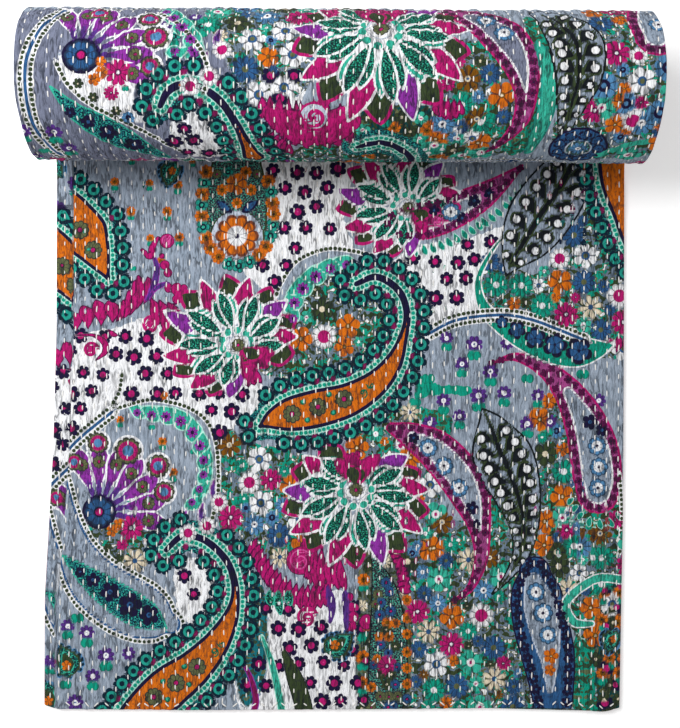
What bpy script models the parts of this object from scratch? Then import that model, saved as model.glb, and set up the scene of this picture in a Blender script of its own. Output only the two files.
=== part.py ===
"""A kantha quilt, folded lengthwise in four, part rolled up and lying on a flat surface.

Units are metres. X runs along the roll, Y runs from the near edge towards the roll, and Z is up.
The quilt is one solid. Its flat stretch is a back-and-forth section of four plies, a little apart.
It runs under the roll, up its back and over its top, and winds on to the middle of the roll.
The rows of kantha stitching draw its faces into low ridges that run along Y and over the roll.
"""

import math

import bmesh
import bpy
import numpy as np

# The cloth and how it is folded
PLIES = 4
PLY = 0.00165
PLY_GAP = 0.0003
STACK = PLIES * PLY + (PLIES - 1) * PLY_GAP
FOLD_WALL = 0.0018
MOUTH_DEPTH = 0.0016
MOUTH_HEIGHT = 0.0013
BEYOND = 0.004
PLY_SLOT_END = 0.006

# The roll
ROLL_DIAMETER = 0.1385
ROLL_SAG = 0.0008
TURN_GAP = 0.0004
TURN = 0.0070
PITCH = TURN + TURN_GAP
TURNS = 8.7
ROLL_HALF = 0.2842
ROLL_SLANT = 0.0085
ROLL_CENTRE_Y = 0.257
NIP_BACK = 0.0125
ARC_STEPS = 24
SLOT_STEP = math.radians(18)
SLOT_MOUTH = math.radians(1.5)

# The flat stretch, seen from above: how its edges run from the roll to the near edge.
# Each row has the place along Y, the left edge of the folded cloth, the free edge of its
# top ply, and the right edge.
EDGE_COLUMNS = ("along", "left", "top_ply", "right")
EDGES = (
    (0.240, -0.2842, -0.2667, 0.2842),
    (0.190, -0.2820, -0.2647, 0.2830),
    (0.034, -0.2825, -0.2647, 0.2826),
    (-0.086, -0.2858, -0.2690, 0.2820),
    (-0.156, -0.2897, -0.2745, 0.2816),
    (-0.236, -0.2942, -0.2800, 0.2800),
    (-0.346, -0.2945, -0.2822, 0.2780),
)

# The near edge, from left to right: each row has the share of the width and how far the edge
# lies beyond its mean line, towards the roll where it is positive.
NEAR_EDGE = -0.3435
HEM_COLUMNS = ("share", "drawn_in")
HEM = (
    (0.00, 0.0042),
    (0.02, 0.0006),
    (0.25, -0.0003),
    (0.55, 0.0004),
    (0.80, 0.0016),
    (0.91, 0.0012),
    (0.97, -0.0022),
    (1.00, 0.0018),
)

# The quilting
ROWS = 47
RIDGE = 0.0009
PRESSED = 0.02
SOFT_EDGE = (0.0, 0.0014, 0.0055)
SOFT_DROP = (0.0021, 0.0007, 0.0)
STEP_RUN = 0.0004
TOP_STATIONS = 9
HEM_ROUND = 0.0009

# The finish
QUILT_COLOUR = (0.34, 0.36, 0.40, 1.0)
QUILT_ROUGHNESS = 0.85

RADIUS = (ROLL_DIAMETER + PITCH - RIDGE) / 2
AXIS_Z = RADIUS - ROLL_SAG
FLAT_SPOT = math.acos(AXIS_Z / RADIUS)
NIP_Y = ROLL_CENTRE_Y - NIP_BACK
END_ANGLE = TURNS * math.tau
FLAT_TOP = STACK - RIDGE / 2


def clear_scene():
    """Removes the objects of the open scene."""
    for item in list(bpy.context.scene.objects):
        bpy.data.objects.remove(item, do_unlink=True)


def new_collection(name):
    """A collection in the scene."""
    made = bpy.data.collections.new(name)
    bpy.context.scene.collection.children.link(made)
    return made


def edge(column, along):
    """The X of an edge of the folded cloth at a place along Y, between the rows of EDGES."""
    at = EDGE_COLUMNS.index(column)
    rows = sorted(EDGES)
    return np.interp(along, [row[0] for row in rows], [row[at] for row in rows])


def hem_line(share):
    """The Y of the near edge at a share of the width from the left."""
    return NEAR_EDGE + np.interp(share, [row[0] for row in HEM], [row[1] for row in HEM])


def ridge(row, along, from_nip):
    """The height of the quilting at a place: nothing in a stitched row, which has a whole number,
    and most halfway to the next, uneven along the row. It fades out where the roll presses."""
    lift = math.sin(math.pi * row) ** 2
    uneven = 0.72 + 0.28 * math.sin(5.3 * row + 37.0 * along) * math.cos(1.9 * row - 11.0 * along)
    return RIDGE * lift * uneven * min(1.0, from_nip / PRESSED)


def outer_radius(turned):
    """The outer face of the winding: a spiral that loses one pitch a turn, from under the roll."""
    return RADIUS - PITCH * turned / math.tau


def on_roll(turned, radius):
    """(Y, Z) of a point of the roll: angles run from its lowest point, up its back, over its top."""
    return radius * math.sin(turned), AXIS_Z - radius * math.cos(turned)


def nip_angle():
    """How far the outer face has turned where it meets the top of the flat stretch."""
    return math.tau - math.asin(NIP_BACK / outer_radius(math.tau))


def columns():
    """The lines that run along Y, from left to right. Each has how far it is drawn in from the
    left edge, or from the right edge, or its share of the top ply, its row number and its drop."""
    lines = [("left", inset, 0.0, drop) for inset, drop in zip(SOFT_EDGE, SOFT_DROP)]
    lines.append(("step", STEP_RUN, 0.0, 0.0))
    shares = np.linspace(0.0, 1.0, 2 * ROWS + 1)
    lines += [("share", share, ROWS * share, 0.0) for share in shares]
    lines += [("right", inset, 0.0, drop) for inset, drop in zip(SOFT_EDGE[1::-1], SOFT_DROP[1::-1])]
    return lines


def across(line, along):
    """The X of a line at a place along Y."""
    kind, value = line[:2]
    left, top_ply = edge("left", along), edge("top_ply", along)
    right = edge("right", along)
    if kind == "left":
        return left + value
    if kind == "step":
        return top_ply - value
    if kind == "right":
        return right - value
    return top_ply + (right - SOFT_EDGE[2] - top_ply) * value


def section(line):
    """The closed outline of the quilt along one line: along the floor to the roll, round it to
    the nip, and back along the top of the flat stretch. Also the numbers of its stations."""
    kind, _, row, drop = line
    share = (across(line, NEAR_EDGE) - edge("left", NEAR_EDGE)) / (
        edge("right", NEAR_EDGE) - edge("left", NEAR_EDGE)
    )
    near = hem_line(share)
    stations = near + (NIP_Y - near) * np.linspace(0.0, 1.0, TOP_STATIONS)
    points = [(across(line, y), y, min(drop, PLY / 3)) for y in stations]
    roll_x = across(line, EDGES[0][0])
    slant = -ROLL_SLANT * roll_x
    start, stop = FLAT_SPOT, nip_angle()
    for turned in np.linspace(start, stop, ARC_STEPS):
        from_nip = (stop - turned) * RADIUS
        radius = outer_radius(turned) - 2 * drop * min(1.0, from_nip / PRESSED)
        radius += ridge(row, turned * RADIUS, from_nip)
        y, z = on_roll(turned, radius)
        points.append((roll_x, ROLL_CENTRE_Y + slant * math.sin(turned / 2) + y, max(z, 0.0)))
    below_top_ply = kind in ("left", "step")
    top = STACK - PLY - PLY_GAP / 2 if below_top_ply else FLAT_TOP
    for y in stations[::-1]:
        rounded = HEM_ROUND if y == stations[0] else 0.0
        height = top - min(drop, PLY / 2) + (0.0 if below_top_ply else ridge(row, y, NIP_Y - y))
        points.append((across(line, y), y + rounded, height))
    points.append((across(line, near), near, top - HEM_ROUND))
    return points


def body(name, collection):
    """The quilt's outer form: a loft through the outlines of all its lines. Each end is closed by
    strips between floor and top along the flat stretch, and by a fan about the roll's axis."""
    lines = columns()
    sections = [section(line) for line in lines]
    count = len(sections[0])
    verts = [point for outline in sections for point in outline]
    faces = []
    for i in range(len(lines) - 1):
        here, there = i * count, (i + 1) * count
        for j in range(count):
            k = (j + 1) % count
            faces.append((here + j, here + k, there + k, there + j))
    last = TOP_STATIONS - 1
    for i, flip in ((0, False), (len(lines) - 1, True)):
        base = i * count
        floor = [base + j for j in range(TOP_STATIONS)]
        top = [base + count - 2 - j for j in range(TOP_STATIONS)]
        end = [(base + count - 1, top[0], floor[0])]
        end += [(floor[j], top[j], top[j + 1], floor[j + 1]) for j in range(last)]
        verts.append((sections[i][last + 1][0], ROLL_CENTRE_Y, AXIS_Z))
        ring = list(range(floor[last], top[last] + 1))
        end += [(len(verts) - 1, b, a) for a, b in zip(ring, ring[1:] + ring[:1])]
        faces += [face[::-1] for face in end] if flip else end
    return closed_mesh(name, verts, faces, collection)


def closed_mesh(name, verts, faces, collection):
    """An object from points and faces, in triangles, with its faces turned outwards."""
    mesh = bpy.data.meshes.new(name)
    mesh.from_pydata(verts, [], faces)
    work = bmesh.new()
    work.from_mesh(mesh)
    bmesh.ops.triangulate(work, faces=work.faces[:])
    bmesh.ops.recalc_face_normals(work, faces=work.faces[:])
    work.to_mesh(mesh)
    work.free()
    made = bpy.data.objects.new(name, mesh)
    collection.objects.link(made)
    return made


def turn_slot(name, collection):
    """The space between the turns: a thin spiral band from the nip inwards, which opens into the
    hollow inside the last turn. It is a flat outline, drawn out along the roll."""
    nip = nip_angle()
    tip = nip - SLOT_MOUTH
    begin = nip + SLOT_MOUTH
    wound = np.linspace(begin, END_ANGLE, int((END_ANGLE - begin) / SLOT_STEP))
    hollow = np.linspace(END_ANGLE, END_ANGLE + math.tau, int(math.tau / SLOT_STEP))[1:]
    outside = [on_roll(tip, outer_radius(tip) + TURN_GAP)]
    outside += [on_roll(a, outer_radius(a) + TURN_GAP) for a in [*wound, *hollow]]
    inside = [on_roll(a, outer_radius(a)) for a in wound[::-1]]
    outline = bpy.data.curves.new(name, "CURVE")
    outline.dimensions = "2D"
    outline.fill_mode = "BOTH"
    outline.extrude = ROLL_HALF + 0.02
    spline = outline.splines.new("POLY")
    spline.points.add(len(outside) + len(inside) - 1)
    for point, (y, z) in zip(spline.points, outside + inside):
        point.co = (y, z, 0.0, 1.0)
    spline.use_cyclic_u = True
    drawn = bpy.data.objects.new(name, outline)
    drawn.location = (0.0, ROLL_CENTRE_Y, 0.0)
    drawn.rotation_euler = (math.pi / 2, 0.0, math.pi / 2)
    collection.objects.link(drawn)
    return made_mesh(drawn, collection)


def made_mesh(drawn, collection):
    """A curve object made a closed mesh in the same place."""
    bpy.context.view_layer.update()
    evaluated = drawn.evaluated_get(bpy.context.evaluated_depsgraph_get())
    mesh = bpy.data.meshes.new_from_object(evaluated)
    work = bmesh.new()
    work.from_mesh(mesh)
    bmesh.ops.remove_doubles(work, verts=work.verts[:], dist=1e-6)
    bmesh.ops.triangulate(work, faces=work.faces[:])
    bmesh.ops.recalc_face_normals(work, faces=work.faces[:])
    work.to_mesh(mesh)
    work.free()
    name = drawn.name
    place = drawn.matrix_world.copy()
    bpy.data.objects.remove(drawn, do_unlink=True)
    made = bpy.data.objects.new(name, mesh)
    made.matrix_world = place
    collection.objects.link(made)
    return as_cutter(made)


def ply_slot(name, number, collection):
    """The space between a ply and the next: a thin flat slot, open at the near edge and at one
    side, where its mouth widens between the two rounded folds. The sides take turns."""
    height = number * PLY + (number - 0.5) * PLY_GAP
    open_left = number % 2 == 1
    side = 1.0 if open_left else -1.0
    mouth_edge = "top_ply" if number == PLIES - 1 else "left"
    stations = [row[0] for row in sorted(EDGES) if row[0] < NIP_Y - PLY_SLOT_END]
    stations = [NEAR_EDGE - BEYOND] + stations[1:] + [NIP_Y - PLY_SLOT_END]
    half = PLY_GAP / 2
    wide = half if mouth_edge == "top_ply" else MOUTH_HEIGHT / 2
    flare = half + (wide - half) * (MOUTH_DEPTH + BEYOND) / MOUTH_DEPTH
    verts = []
    for y in stations:
        mouth = edge(mouth_edge, y) if open_left else edge("right", y)
        closed = edge("right", y) - FOLD_WALL if open_left else edge("left", y) + FOLD_WALL
        inner = mouth + side * MOUTH_DEPTH
        outer = mouth - side * BEYOND
        verts += [(closed, y, height - half), (inner, y, height - half)]
        verts += [(outer, y, height - flare), (outer, y, height + flare)]
        verts += [(inner, y, height + half), (closed, y, height + half)]
    size = 6
    faces = [tuple(range(size)), tuple(range(len(verts) - 1, len(verts) - size - 1, -1))]
    for i in range(len(stations) - 1):
        for j in range(size):
            k = (j + 1) % size
            faces.append((i * size + j, (i + 1) * size + j, (i + 1) * size + k, i * size + k))
    return as_cutter(closed_mesh(name, verts, faces, collection))


def as_cutter(made):
    """Marks an object as one that only cuts."""
    made.hide_render = True
    made.display_type = "WIRE"
    return made


def cut(target, cutter):
    """Takes the cutter's space out of the target, with a Boolean modifier."""
    step = target.modifiers.new("cut " + cutter.name, "BOOLEAN")
    step.operation = "DIFFERENCE"
    step.solver = "EXACT"
    step.object = cutter


def quilted_cotton():
    """The cotton's material."""
    made = bpy.data.materials.new("quilted_cotton")
    made.use_nodes = True
    shader = made.node_tree.nodes["Principled BSDF"]
    shader.inputs["Base Color"].default_value = QUILT_COLOUR
    shader.inputs["Roughness"].default_value = QUILT_ROUGHNESS
    shader.inputs["Metallic"].default_value = 0.0
    return made


def centre(made, cutters):
    """Moves the quilt and its cutters so that the origin is under the middle of its outer box."""
    points = np.array([vert.co[:] for vert in made.data.vertices])
    middle = (points.min(0) + points.max(0)) / 2
    for item in [made, *cutters]:
        item.location.x -= middle[0]
        item.location.y -= middle[1]


def main():
    clear_scene()
    collection = new_collection("kantha_quilt")
    tools = new_collection("cutters")
    quilt = body("quilt", collection)
    cutters = [turn_slot("space_between_turns", tools)]
    cutters += [ply_slot(f"space_over_ply_{n}", n, tools) for n in range(1, PLIES)]
    for cutter in cutters:
        cut(quilt, cutter)
    centre(quilt, cutters)
    quilt.data.materials.append(quilted_cotton())


main()
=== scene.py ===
"""The looks of a printed kantha quilt, folded lengthwise in four and part rolled up.

Units are metres in the frame, and millimetres in the print. X runs along the roll, Y from the
near hem towards the roll, and Z is up. The cloth is one folded section, carried along the floor
and then round a spiral. Its two faces that show most, the top ply and the outermost turn, are
finer sheets over it, and the running stitches are threads of their own.
"""

import math

import bpy
import numpy as np
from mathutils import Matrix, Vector


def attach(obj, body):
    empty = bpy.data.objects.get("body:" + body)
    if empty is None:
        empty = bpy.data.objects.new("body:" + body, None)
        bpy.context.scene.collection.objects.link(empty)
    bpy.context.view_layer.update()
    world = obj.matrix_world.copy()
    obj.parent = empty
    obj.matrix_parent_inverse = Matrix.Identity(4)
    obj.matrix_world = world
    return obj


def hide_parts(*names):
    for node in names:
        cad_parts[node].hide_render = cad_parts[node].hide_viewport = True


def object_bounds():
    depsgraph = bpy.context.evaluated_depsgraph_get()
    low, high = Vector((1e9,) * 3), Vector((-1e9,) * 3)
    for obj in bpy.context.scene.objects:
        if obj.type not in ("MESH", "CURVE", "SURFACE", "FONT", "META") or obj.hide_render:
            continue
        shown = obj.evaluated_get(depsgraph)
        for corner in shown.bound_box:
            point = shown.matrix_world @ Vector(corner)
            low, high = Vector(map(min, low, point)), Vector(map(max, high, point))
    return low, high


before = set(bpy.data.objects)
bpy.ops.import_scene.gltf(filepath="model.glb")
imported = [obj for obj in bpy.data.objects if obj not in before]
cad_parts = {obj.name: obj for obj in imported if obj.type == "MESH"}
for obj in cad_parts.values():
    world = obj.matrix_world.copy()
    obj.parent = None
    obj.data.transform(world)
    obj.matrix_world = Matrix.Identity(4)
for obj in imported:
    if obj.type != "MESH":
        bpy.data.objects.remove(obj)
CAD_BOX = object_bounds()

# The cloth and how it is folded, as in the part
PLIES = 4
PLY = 0.00165
PLY_GAP = 0.0003
STACK = PLIES * PLY + (PLIES - 1) * PLY_GAP
FOLD_RADIUS = (PLY + PLY_GAP) / 2
COVERED = 0.0011

# The roll, as in the part
ROLL_DIAMETER = 0.1385
ROLL_SAG = 0.0008
PITCH = 0.0074
TURNS = 8.7
ROLL_HALF = 0.2842
ROLL_SLANT = 0.0085
ROLL_CENTRE_Y = 0.257
NIP_BACK = 0.0125
RIDGE = 0.0009
RADIUS = (ROLL_DIAMETER + PITCH - RIDGE) / 2
AXIS_Z = RADIUS - ROLL_SAG
NIP_Y = ROLL_CENTRE_Y - NIP_BACK
NIP = math.tau - math.asin(NIP_BACK / (RADIUS - PITCH))

# The edges of the flat stretch, as in the part: the place along Y, the left edge of the folded
# cloth, the free edge of its top ply, and the right edge.
EDGE_COLUMNS = ("along", "left", "top_ply", "right")
EDGES = (
    (0.240, -0.2842, -0.2667, 0.2842),
    (0.190, -0.2820, -0.2647, 0.2830),
    (0.034, -0.2825, -0.2647, 0.2826),
    (-0.086, -0.2858, -0.2690, 0.2820),
    (-0.156, -0.2897, -0.2745, 0.2816),
    (-0.236, -0.2942, -0.2800, 0.2800),
    (-0.346, -0.2945, -0.2822, 0.2780),
)
NEAR_EDGE = -0.3435
HEM = (
    (0.00, 0.0042),
    (0.02, 0.0006),
    (0.25, -0.0003),
    (0.55, 0.0004),
    (0.80, 0.0016),
    (0.91, 0.0012),
    (0.97, -0.0022),
    (1.00, 0.0018),
)

# Where the photo's middle lies in the frame, and how far off its camera is. At this distance a
# pixel of the photo is a millimetre on the floor.
MIDDLE_X = CAD_BOX[0].x - min(row[1] for row in EDGES)
MIDDLE_Y = CAD_BOX[0].y - NEAR_EDGE + max(-row[1] for row in HEM)
CAMERA_HEIGHT = 1.07
PHOTO_WIDTH = 680
PHOTO_HEIGHT = 728
MIDDLE_U = PHOTO_WIDTH / 2
MIDDLE_V = PHOTO_HEIGHT / 2
PIXEL = 0.001

# The quilting: rows of stitches, and how the cloth rises between them
ROWS = 47
STITCH_PITCH = 0.0136
STITCH_LENGTH = 0.0074
ROW_RISE = 0.0012
PRESSED = 0.02
UNEVEN_LENGTH = 0.021
WRINKLE = 0.00062
WRINKLE_LENGTH = 0.012
CREASE = 0.00034
CREASE_LENGTH = 0.0075
WAVE = 0.00050
WAVE_LENGTH = 0.085
DIMPLE = 0.00060
DIMPLE_REACH = 0.17


def edge(column, along):
    """The X of an edge of the folded cloth at places along Y, straight between rows of EDGES."""
    at = EDGE_COLUMNS.index(column)
    rows = sorted(EDGES)
    return np.interp(along, [row[0] for row in rows], [row[at] for row in rows])


def near_hem(across):
    """The Y of the near hem at places across X: its mean line and the HEM table's waves."""
    left, right = edge("left", NEAR_EDGE), edge("right", NEAR_EDGE)
    share = (across - left) / (right - left)
    return NEAR_EDGE + np.interp(share, [row[0] for row in HEM], [row[1] for row in HEM])


def noise(a, b, seed):
    """Smooth uneven values from -1 to 1 over two coordinates, a hump about one unit wide each
    way: random numbers on a unit lattice, blended by smoothstep of the fractions."""
    lattice = np.random.default_rng(seed).uniform(-1.0, 1.0, (257, 257))
    i, j = np.floor(a).astype(int), np.floor(b).astype(int)
    p, q = a - i, b - j
    p, q = p * p * (3 - 2 * p), q * q * (3 - 2 * q)
    i, j = i % 256, j % 256
    low = lattice[i, j] * (1 - p) + lattice[i + 1, j] * p
    high = lattice[i, j + 1] * (1 - p) + lattice[i + 1, j + 1] * p
    return low * (1 - q) + high * q


def stitch_phase(row_number, seed):
    """Where along a row its first stitch starts, as a share of the stitch pitch."""
    return 0.5 + 0.5 * np.sin(row_number * 12.9898 + seed * 78.233)


def puckers(row, along, seed):
    """How far the quilted cloth stands above its stitched rows, in metres. Between two rows it
    rises as |sin(pi row)|^0.8, by ROW_RISE times an uneven share. Wrinkles and finer creases run
    along the rows over broad waves, and each stitch pulls a dimple."""
    rise = np.abs(np.sin(math.pi * row)) ** 0.8
    share = 0.66 + 0.34 * noise(row * 0.9, along / UNEVEN_LENGTH, seed)
    wrinkles = WRINKLE * noise(row * 2.7, along / WRINKLE_LENGTH, seed + 1)
    wrinkles += CREASE * noise(row * 4.2 + along / 0.011, along / CREASE_LENGTH, seed + 2)
    broad = WAVE * noise(row * 0.16, along / WAVE_LENGTH, seed + 3)
    nearest = np.round(row)
    beat = along / STITCH_PITCH + stitch_phase(nearest, seed)
    on_thread = 0.5 + 0.5 * np.cos(math.tau * (beat - np.floor(beat) - 0.25))
    dimple = DIMPLE * np.exp(-(((row - nearest) / DIMPLE_REACH) ** 2)) * on_thread
    return ROW_RISE * rise * share + wrinkles * (0.35 + 0.65 * rise) + broad - dimple


def outer_radius(turned):
    """The outer face of the winding: a spiral that loses one pitch a turn, from under the roll."""
    return RADIUS - PITCH * turned / math.tau


def on_roll(across, turned, radius):
    """Points of the roll. The angle runs from its lowest point, up its back and over its top:
    y = r sin(angle) and z = axis - r cos(angle), with the roll a little slantwise above."""
    slant = -ROLL_SLANT * across * np.abs(np.sin(turned / 2))
    y = ROLL_CENTRE_Y + slant + radius * np.sin(turned)
    return np.stack(np.broadcast_arrays(across, y, AXIS_Z - radius * np.cos(turned)), -1)


def grid_faces(rows, columns):
    """The four-sided faces of a grid of points, numbered row by row."""
    first = np.arange(rows - 1)[:, None] * columns + np.arange(columns - 1)[None, :]
    first = first.reshape(-1)
    return np.stack([first, first + 1, first + columns + 1, first + columns], -1)


def surface(name, points, flip=False, closed=False):
    """A cloth piece from a grid of points: one face between each four neighbours. A closed one
    joins its last column to its first, and strips between its two faces close both its ends.
    Points are moved from the photo's middle to the frame."""
    rows, columns = points.shape[:2]
    faces = grid_faces(rows, columns)
    if closed:
        start = np.arange(rows - 1) * columns
        seam = np.stack([start + columns - 1, start, start + columns, start + 2 * columns - 1], -1)
        i = np.arange(columns // 2 - 1)
        first_end = np.stack([i + 1, i, columns - 1 - i, columns - 2 - i], -1)
        last_end = first_end[:, ::-1] + (rows - 1) * columns
        faces = np.concatenate([faces, seam, first_end, last_end])
    placed = points.reshape(-1, 3) + (MIDDLE_X, MIDDLE_Y, 0.0)
    return mesh_piece(name, placed, faces[:, ::-1] if flip else faces)


def into_scene(name, data):
    """Puts a new object into the scene."""
    made = bpy.data.objects.new(name, data)
    bpy.context.scene.collection.objects.link(made)
    return made


def mesh_piece(name, points, faces):
    """A smooth object with its place in its mesh."""
    mesh = bpy.data.meshes.new(name)
    mesh.vertices.add(len(points))
    mesh.vertices.foreach_set("co", np.asarray(points, np.float32).reshape(-1))
    corners = faces.shape[1]
    mesh.loops.add(faces.size)
    mesh.loops.foreach_set("vertex_index", faces.reshape(-1).astype(np.int32))
    mesh.polygons.add(len(faces))
    mesh.polygons.foreach_set("loop_start", np.arange(0, faces.size, corners, dtype=np.int32))
    mesh.update(calc_edges=True)
    mesh.polygons.foreach_set("use_smooth", np.ones(len(faces), bool))
    made = into_scene(name, mesh)
    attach(made, "root")
    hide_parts("quilt")
    return made


# The folded cloth: one section, carried along the floor and round the spiral

ARC_POINTS = (-60.0, -20.0, 20.0, 60.0)
PLY_SHARES = (0.0, 0.002, 0.007, 0.014, 0.024, 0.034, 0.25, 0.5, 0.75, 0.966, 0.99, 0.998, 1.0)
FOLD_REACH = FOLD_RADIUS + PLY / 2
HEM_TIP = 0.0006
FLAT_STATIONS = 110
TURN_STATIONS = 46
END_WANDER = 0.0012


def ply_height(number):
    """The middle of a ply above the floor, counted from 1 at the bottom."""
    return (number - 0.5) * PLY + (number - 1) * PLY_GAP


def folded_section(left, top_ply, right):
    """The middle line of the folded cloth across its width, for edges given as columns of
    places. Plies run right, left, right and left, with half circles between them, and each free
    edge ends in a tip. Returns X, height, the sideways and upward parts of the face's direction,
    and the ply that each point belongs to."""
    x, height, sideways, upward, ply = [], [], [], [], []
    shares = np.array(PLY_SHARES)
    for number in range(1, PLIES + 1):
        rightwards = number % 2 == 1
        first = left + FOLD_REACH if rightwards else right - FOLD_REACH
        last = right - FOLD_REACH if rightwards else left + FOLD_REACH
        if number == 1:
            first = left + HEM_TIP
        if number == PLIES:
            last = top_ply + COVERED
        spread = shares if number < PLIES else np.sort(1.0 - shares)
        x += [first + (last - first) * share for share in spread]
        height += [ply_height(number)] * len(spread)
        sideways += [0.0] * len(spread)
        upward += [-1.0 if rightwards else 1.0] * len(spread)
        ply += [number] * len(spread)
        if number == PLIES:
            continue
        for degrees in ARC_POINTS:
            bend = math.radians(degrees)
            out = 1.0 if rightwards else -1.0
            x.append(last + out * FOLD_RADIUS * math.cos(bend))
            height.append(ply_height(number) + FOLD_RADIUS * (1 + math.sin(bend)))
            sideways.append(math.cos(bend))
            upward.append(math.sin(bend) * out)
            ply.append(number + 0.5)
    return np.stack(x, 1), *(np.array(each) for each in (height, sideways, upward, ply))


def folded_cloth():
    """The whole quilt as one folded sheet of real thickness. Its section's two faces stand half a
    ply either side of the middle line. Along the floor a point's height is its own. On the roll
    its radius is the spiral's less its height. Where a finer sheet covers it, it is drawn in."""
    roll_angles = np.linspace(0.0, TURNS * math.tau, int(TURNS * TURN_STATIONS))
    flat = np.concatenate([[0.0, 0.0008, 0.0022], np.linspace(0.006, 1.0, FLAT_STATIONS)])[:-1]
    share = np.concatenate([flat, np.ones(len(roll_angles))])[:, None]
    angle = np.concatenate([np.zeros(len(flat)), roll_angles])[:, None]
    place = NEAR_EDGE + (ROLL_CENTRE_Y - NEAR_EDGE) * share[:, 0]
    edges = (edge(column, place) for column in EDGE_COLUMNS[1:])
    x, height, sideways, upward, ply = folded_section(*edges)
    turn = angle / math.tau
    wander = END_WANDER * (1 + noise(angle * 1.7, 3.0 * np.sign(x) + 9.0, 5)) * np.minimum(1, angle)
    x = x - np.sign(x) * wander * np.clip((np.abs(x) - 0.2) / 0.08, 0, 1)
    near = near_hem(x)
    y = near + (ROLL_CENTRE_Y - near) * share
    hem = np.concatenate([[0.2, 0.75], np.ones(len(share) - 3), [0.2]])[:, None]
    half = np.broadcast_to(hem * PLY / 2, x.shape).copy()
    half[:, [0, -1]] *= 0.3
    top_covered = (angle < 0.01) & (ply[None, :] >= PLIES - 0.5)
    under_covered = (angle > 0.02) & (turn <= 1.0) & (ply[None, :] < 1.25)
    y = y + np.where((ply[None, :] >= PLIES) & (share < 0.01), COVERED * (1 - share * 50), 0)
    relief = np.where(ply[None, :] == PLIES - 1, 1.0, 0.15) * puckers(x / 0.0116, y, 31)
    faces = []
    for side in (1.0, -1.0):
        hidden = (top_covered | under_covered) & (side > 0)
        thick = half * np.where(hidden, 1 - 2 * COVERED / PLY, 1.0)
        seen = relief * (side < 0) * (angle < 0.01) * (half > 0.0004)
        out_x = x + side * thick * sideways
        out_height = height + side * thick * upward + np.where(ply[None, :] == 3, seen, 0)
        on_floor = np.stack([out_x, y, out_height + 0 * x], -1)
        wound = on_roll(out_x, angle + 0 * x, outer_radius(angle) - out_height)
        wound[..., 2] = np.maximum(wound[..., 2], out_height)
        faces.append(np.where((share < 1.0)[..., None], on_floor, wound))
    points = np.concatenate([faces[0], faces[1][:, ::-1]], 1)
    along = np.where(share < 1, y, ROLL_CENTRE_Y + angle * RADIUS)
    made = surface("folded_cloth", points, closed=True)
    across = np.concatenate([x, x[:, ::-1]], 1)
    along = np.concatenate([along, along[:, ::-1]], 1)
    return made, across, along


# The finer sheets over it

FINE_PER_ROW = 8
EDGE_IN = (0.0050, 0.0009, 0.00015, 0.0, 0.00025, 0.0009, 0.0018)
EDGE_DROP = (0.00165, 0.00165, 0.0013, 0.0008, 0.0003, 0.00008, 0.0)
FOLD_IN = 0.0055
FOLD_DEPTH = 0.0038
TOP_STEP = 0.0025
OUTER_WANDER = 0.0009
OUTER_IN = 0.0006


def row_number(across, top_ply, right):
    """Which stitched row a place is at: the rows share the width out evenly from the top ply's
    free edge to where it starts to bend down at the right."""
    return ROWS * (across - top_ply) / (right - FOLD_IN - top_ply)


def top_ply():
    """The top ply of the flat stretch. Its height is the stack's and the puckers', less a drop at
    its free edge, its near hem and its right fold, where x runs round an ellipse's quarter."""
    rows_in = np.array(EDGE_IN + tuple(np.arange(0.0045, NIP_Y + 0.02 - NEAR_EDGE, TOP_STEP)))
    rows_drop = np.zeros(len(rows_in))
    rows_drop[: len(EDGE_DROP)] = EDGE_DROP
    place = (NEAR_EDGE + rows_in)[:, None]
    free, right = edge("top_ply", place), edge("right", place)
    first = EDGE_IN[-1]
    shares = np.linspace(0.0, 1.0, ROWS * FINE_PER_ROW + 1)[None, 1:]
    upper = np.radians(np.linspace(15, 90, 6))[None]
    lower = np.radians(np.linspace(115, 180, 4))[None]
    x = np.concatenate(
        [
            free + np.array(EDGE_IN)[None],
            free + first + (right - FOLD_IN - free - first) * shares,
            right - FOLD_IN + FOLD_IN * np.sin(upper),
            right - FOLD_REACH + FOLD_REACH * np.sin(lower),
        ],
        1,
    )
    bend = np.concatenate([upper, lower], 1)[0]
    drop = np.zeros(x.shape[1])
    drop[: len(EDGE_DROP)] = EDGE_DROP
    drop[-len(bend) :] = FOLD_DEPTH / 2 * (1 - np.cos(bend))
    y = near_hem(x) + rows_in[:, None]
    row = row_number(x, free, right)
    fade = np.clip((NIP_Y - y) / PRESSED, 0.1, 1.0) * np.clip(1 - drop / 0.0016, 0.0, 1.0)
    lift = puckers(row, y, 1) * fade
    total = np.minimum(np.maximum(PLY, drop)[None], drop[None] + rows_drop[:, None])
    z = STACK - RIDGE / 2 + lift - total
    made = surface("top_ply", np.stack([x, y, z], -1))
    return made, x, y


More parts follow.
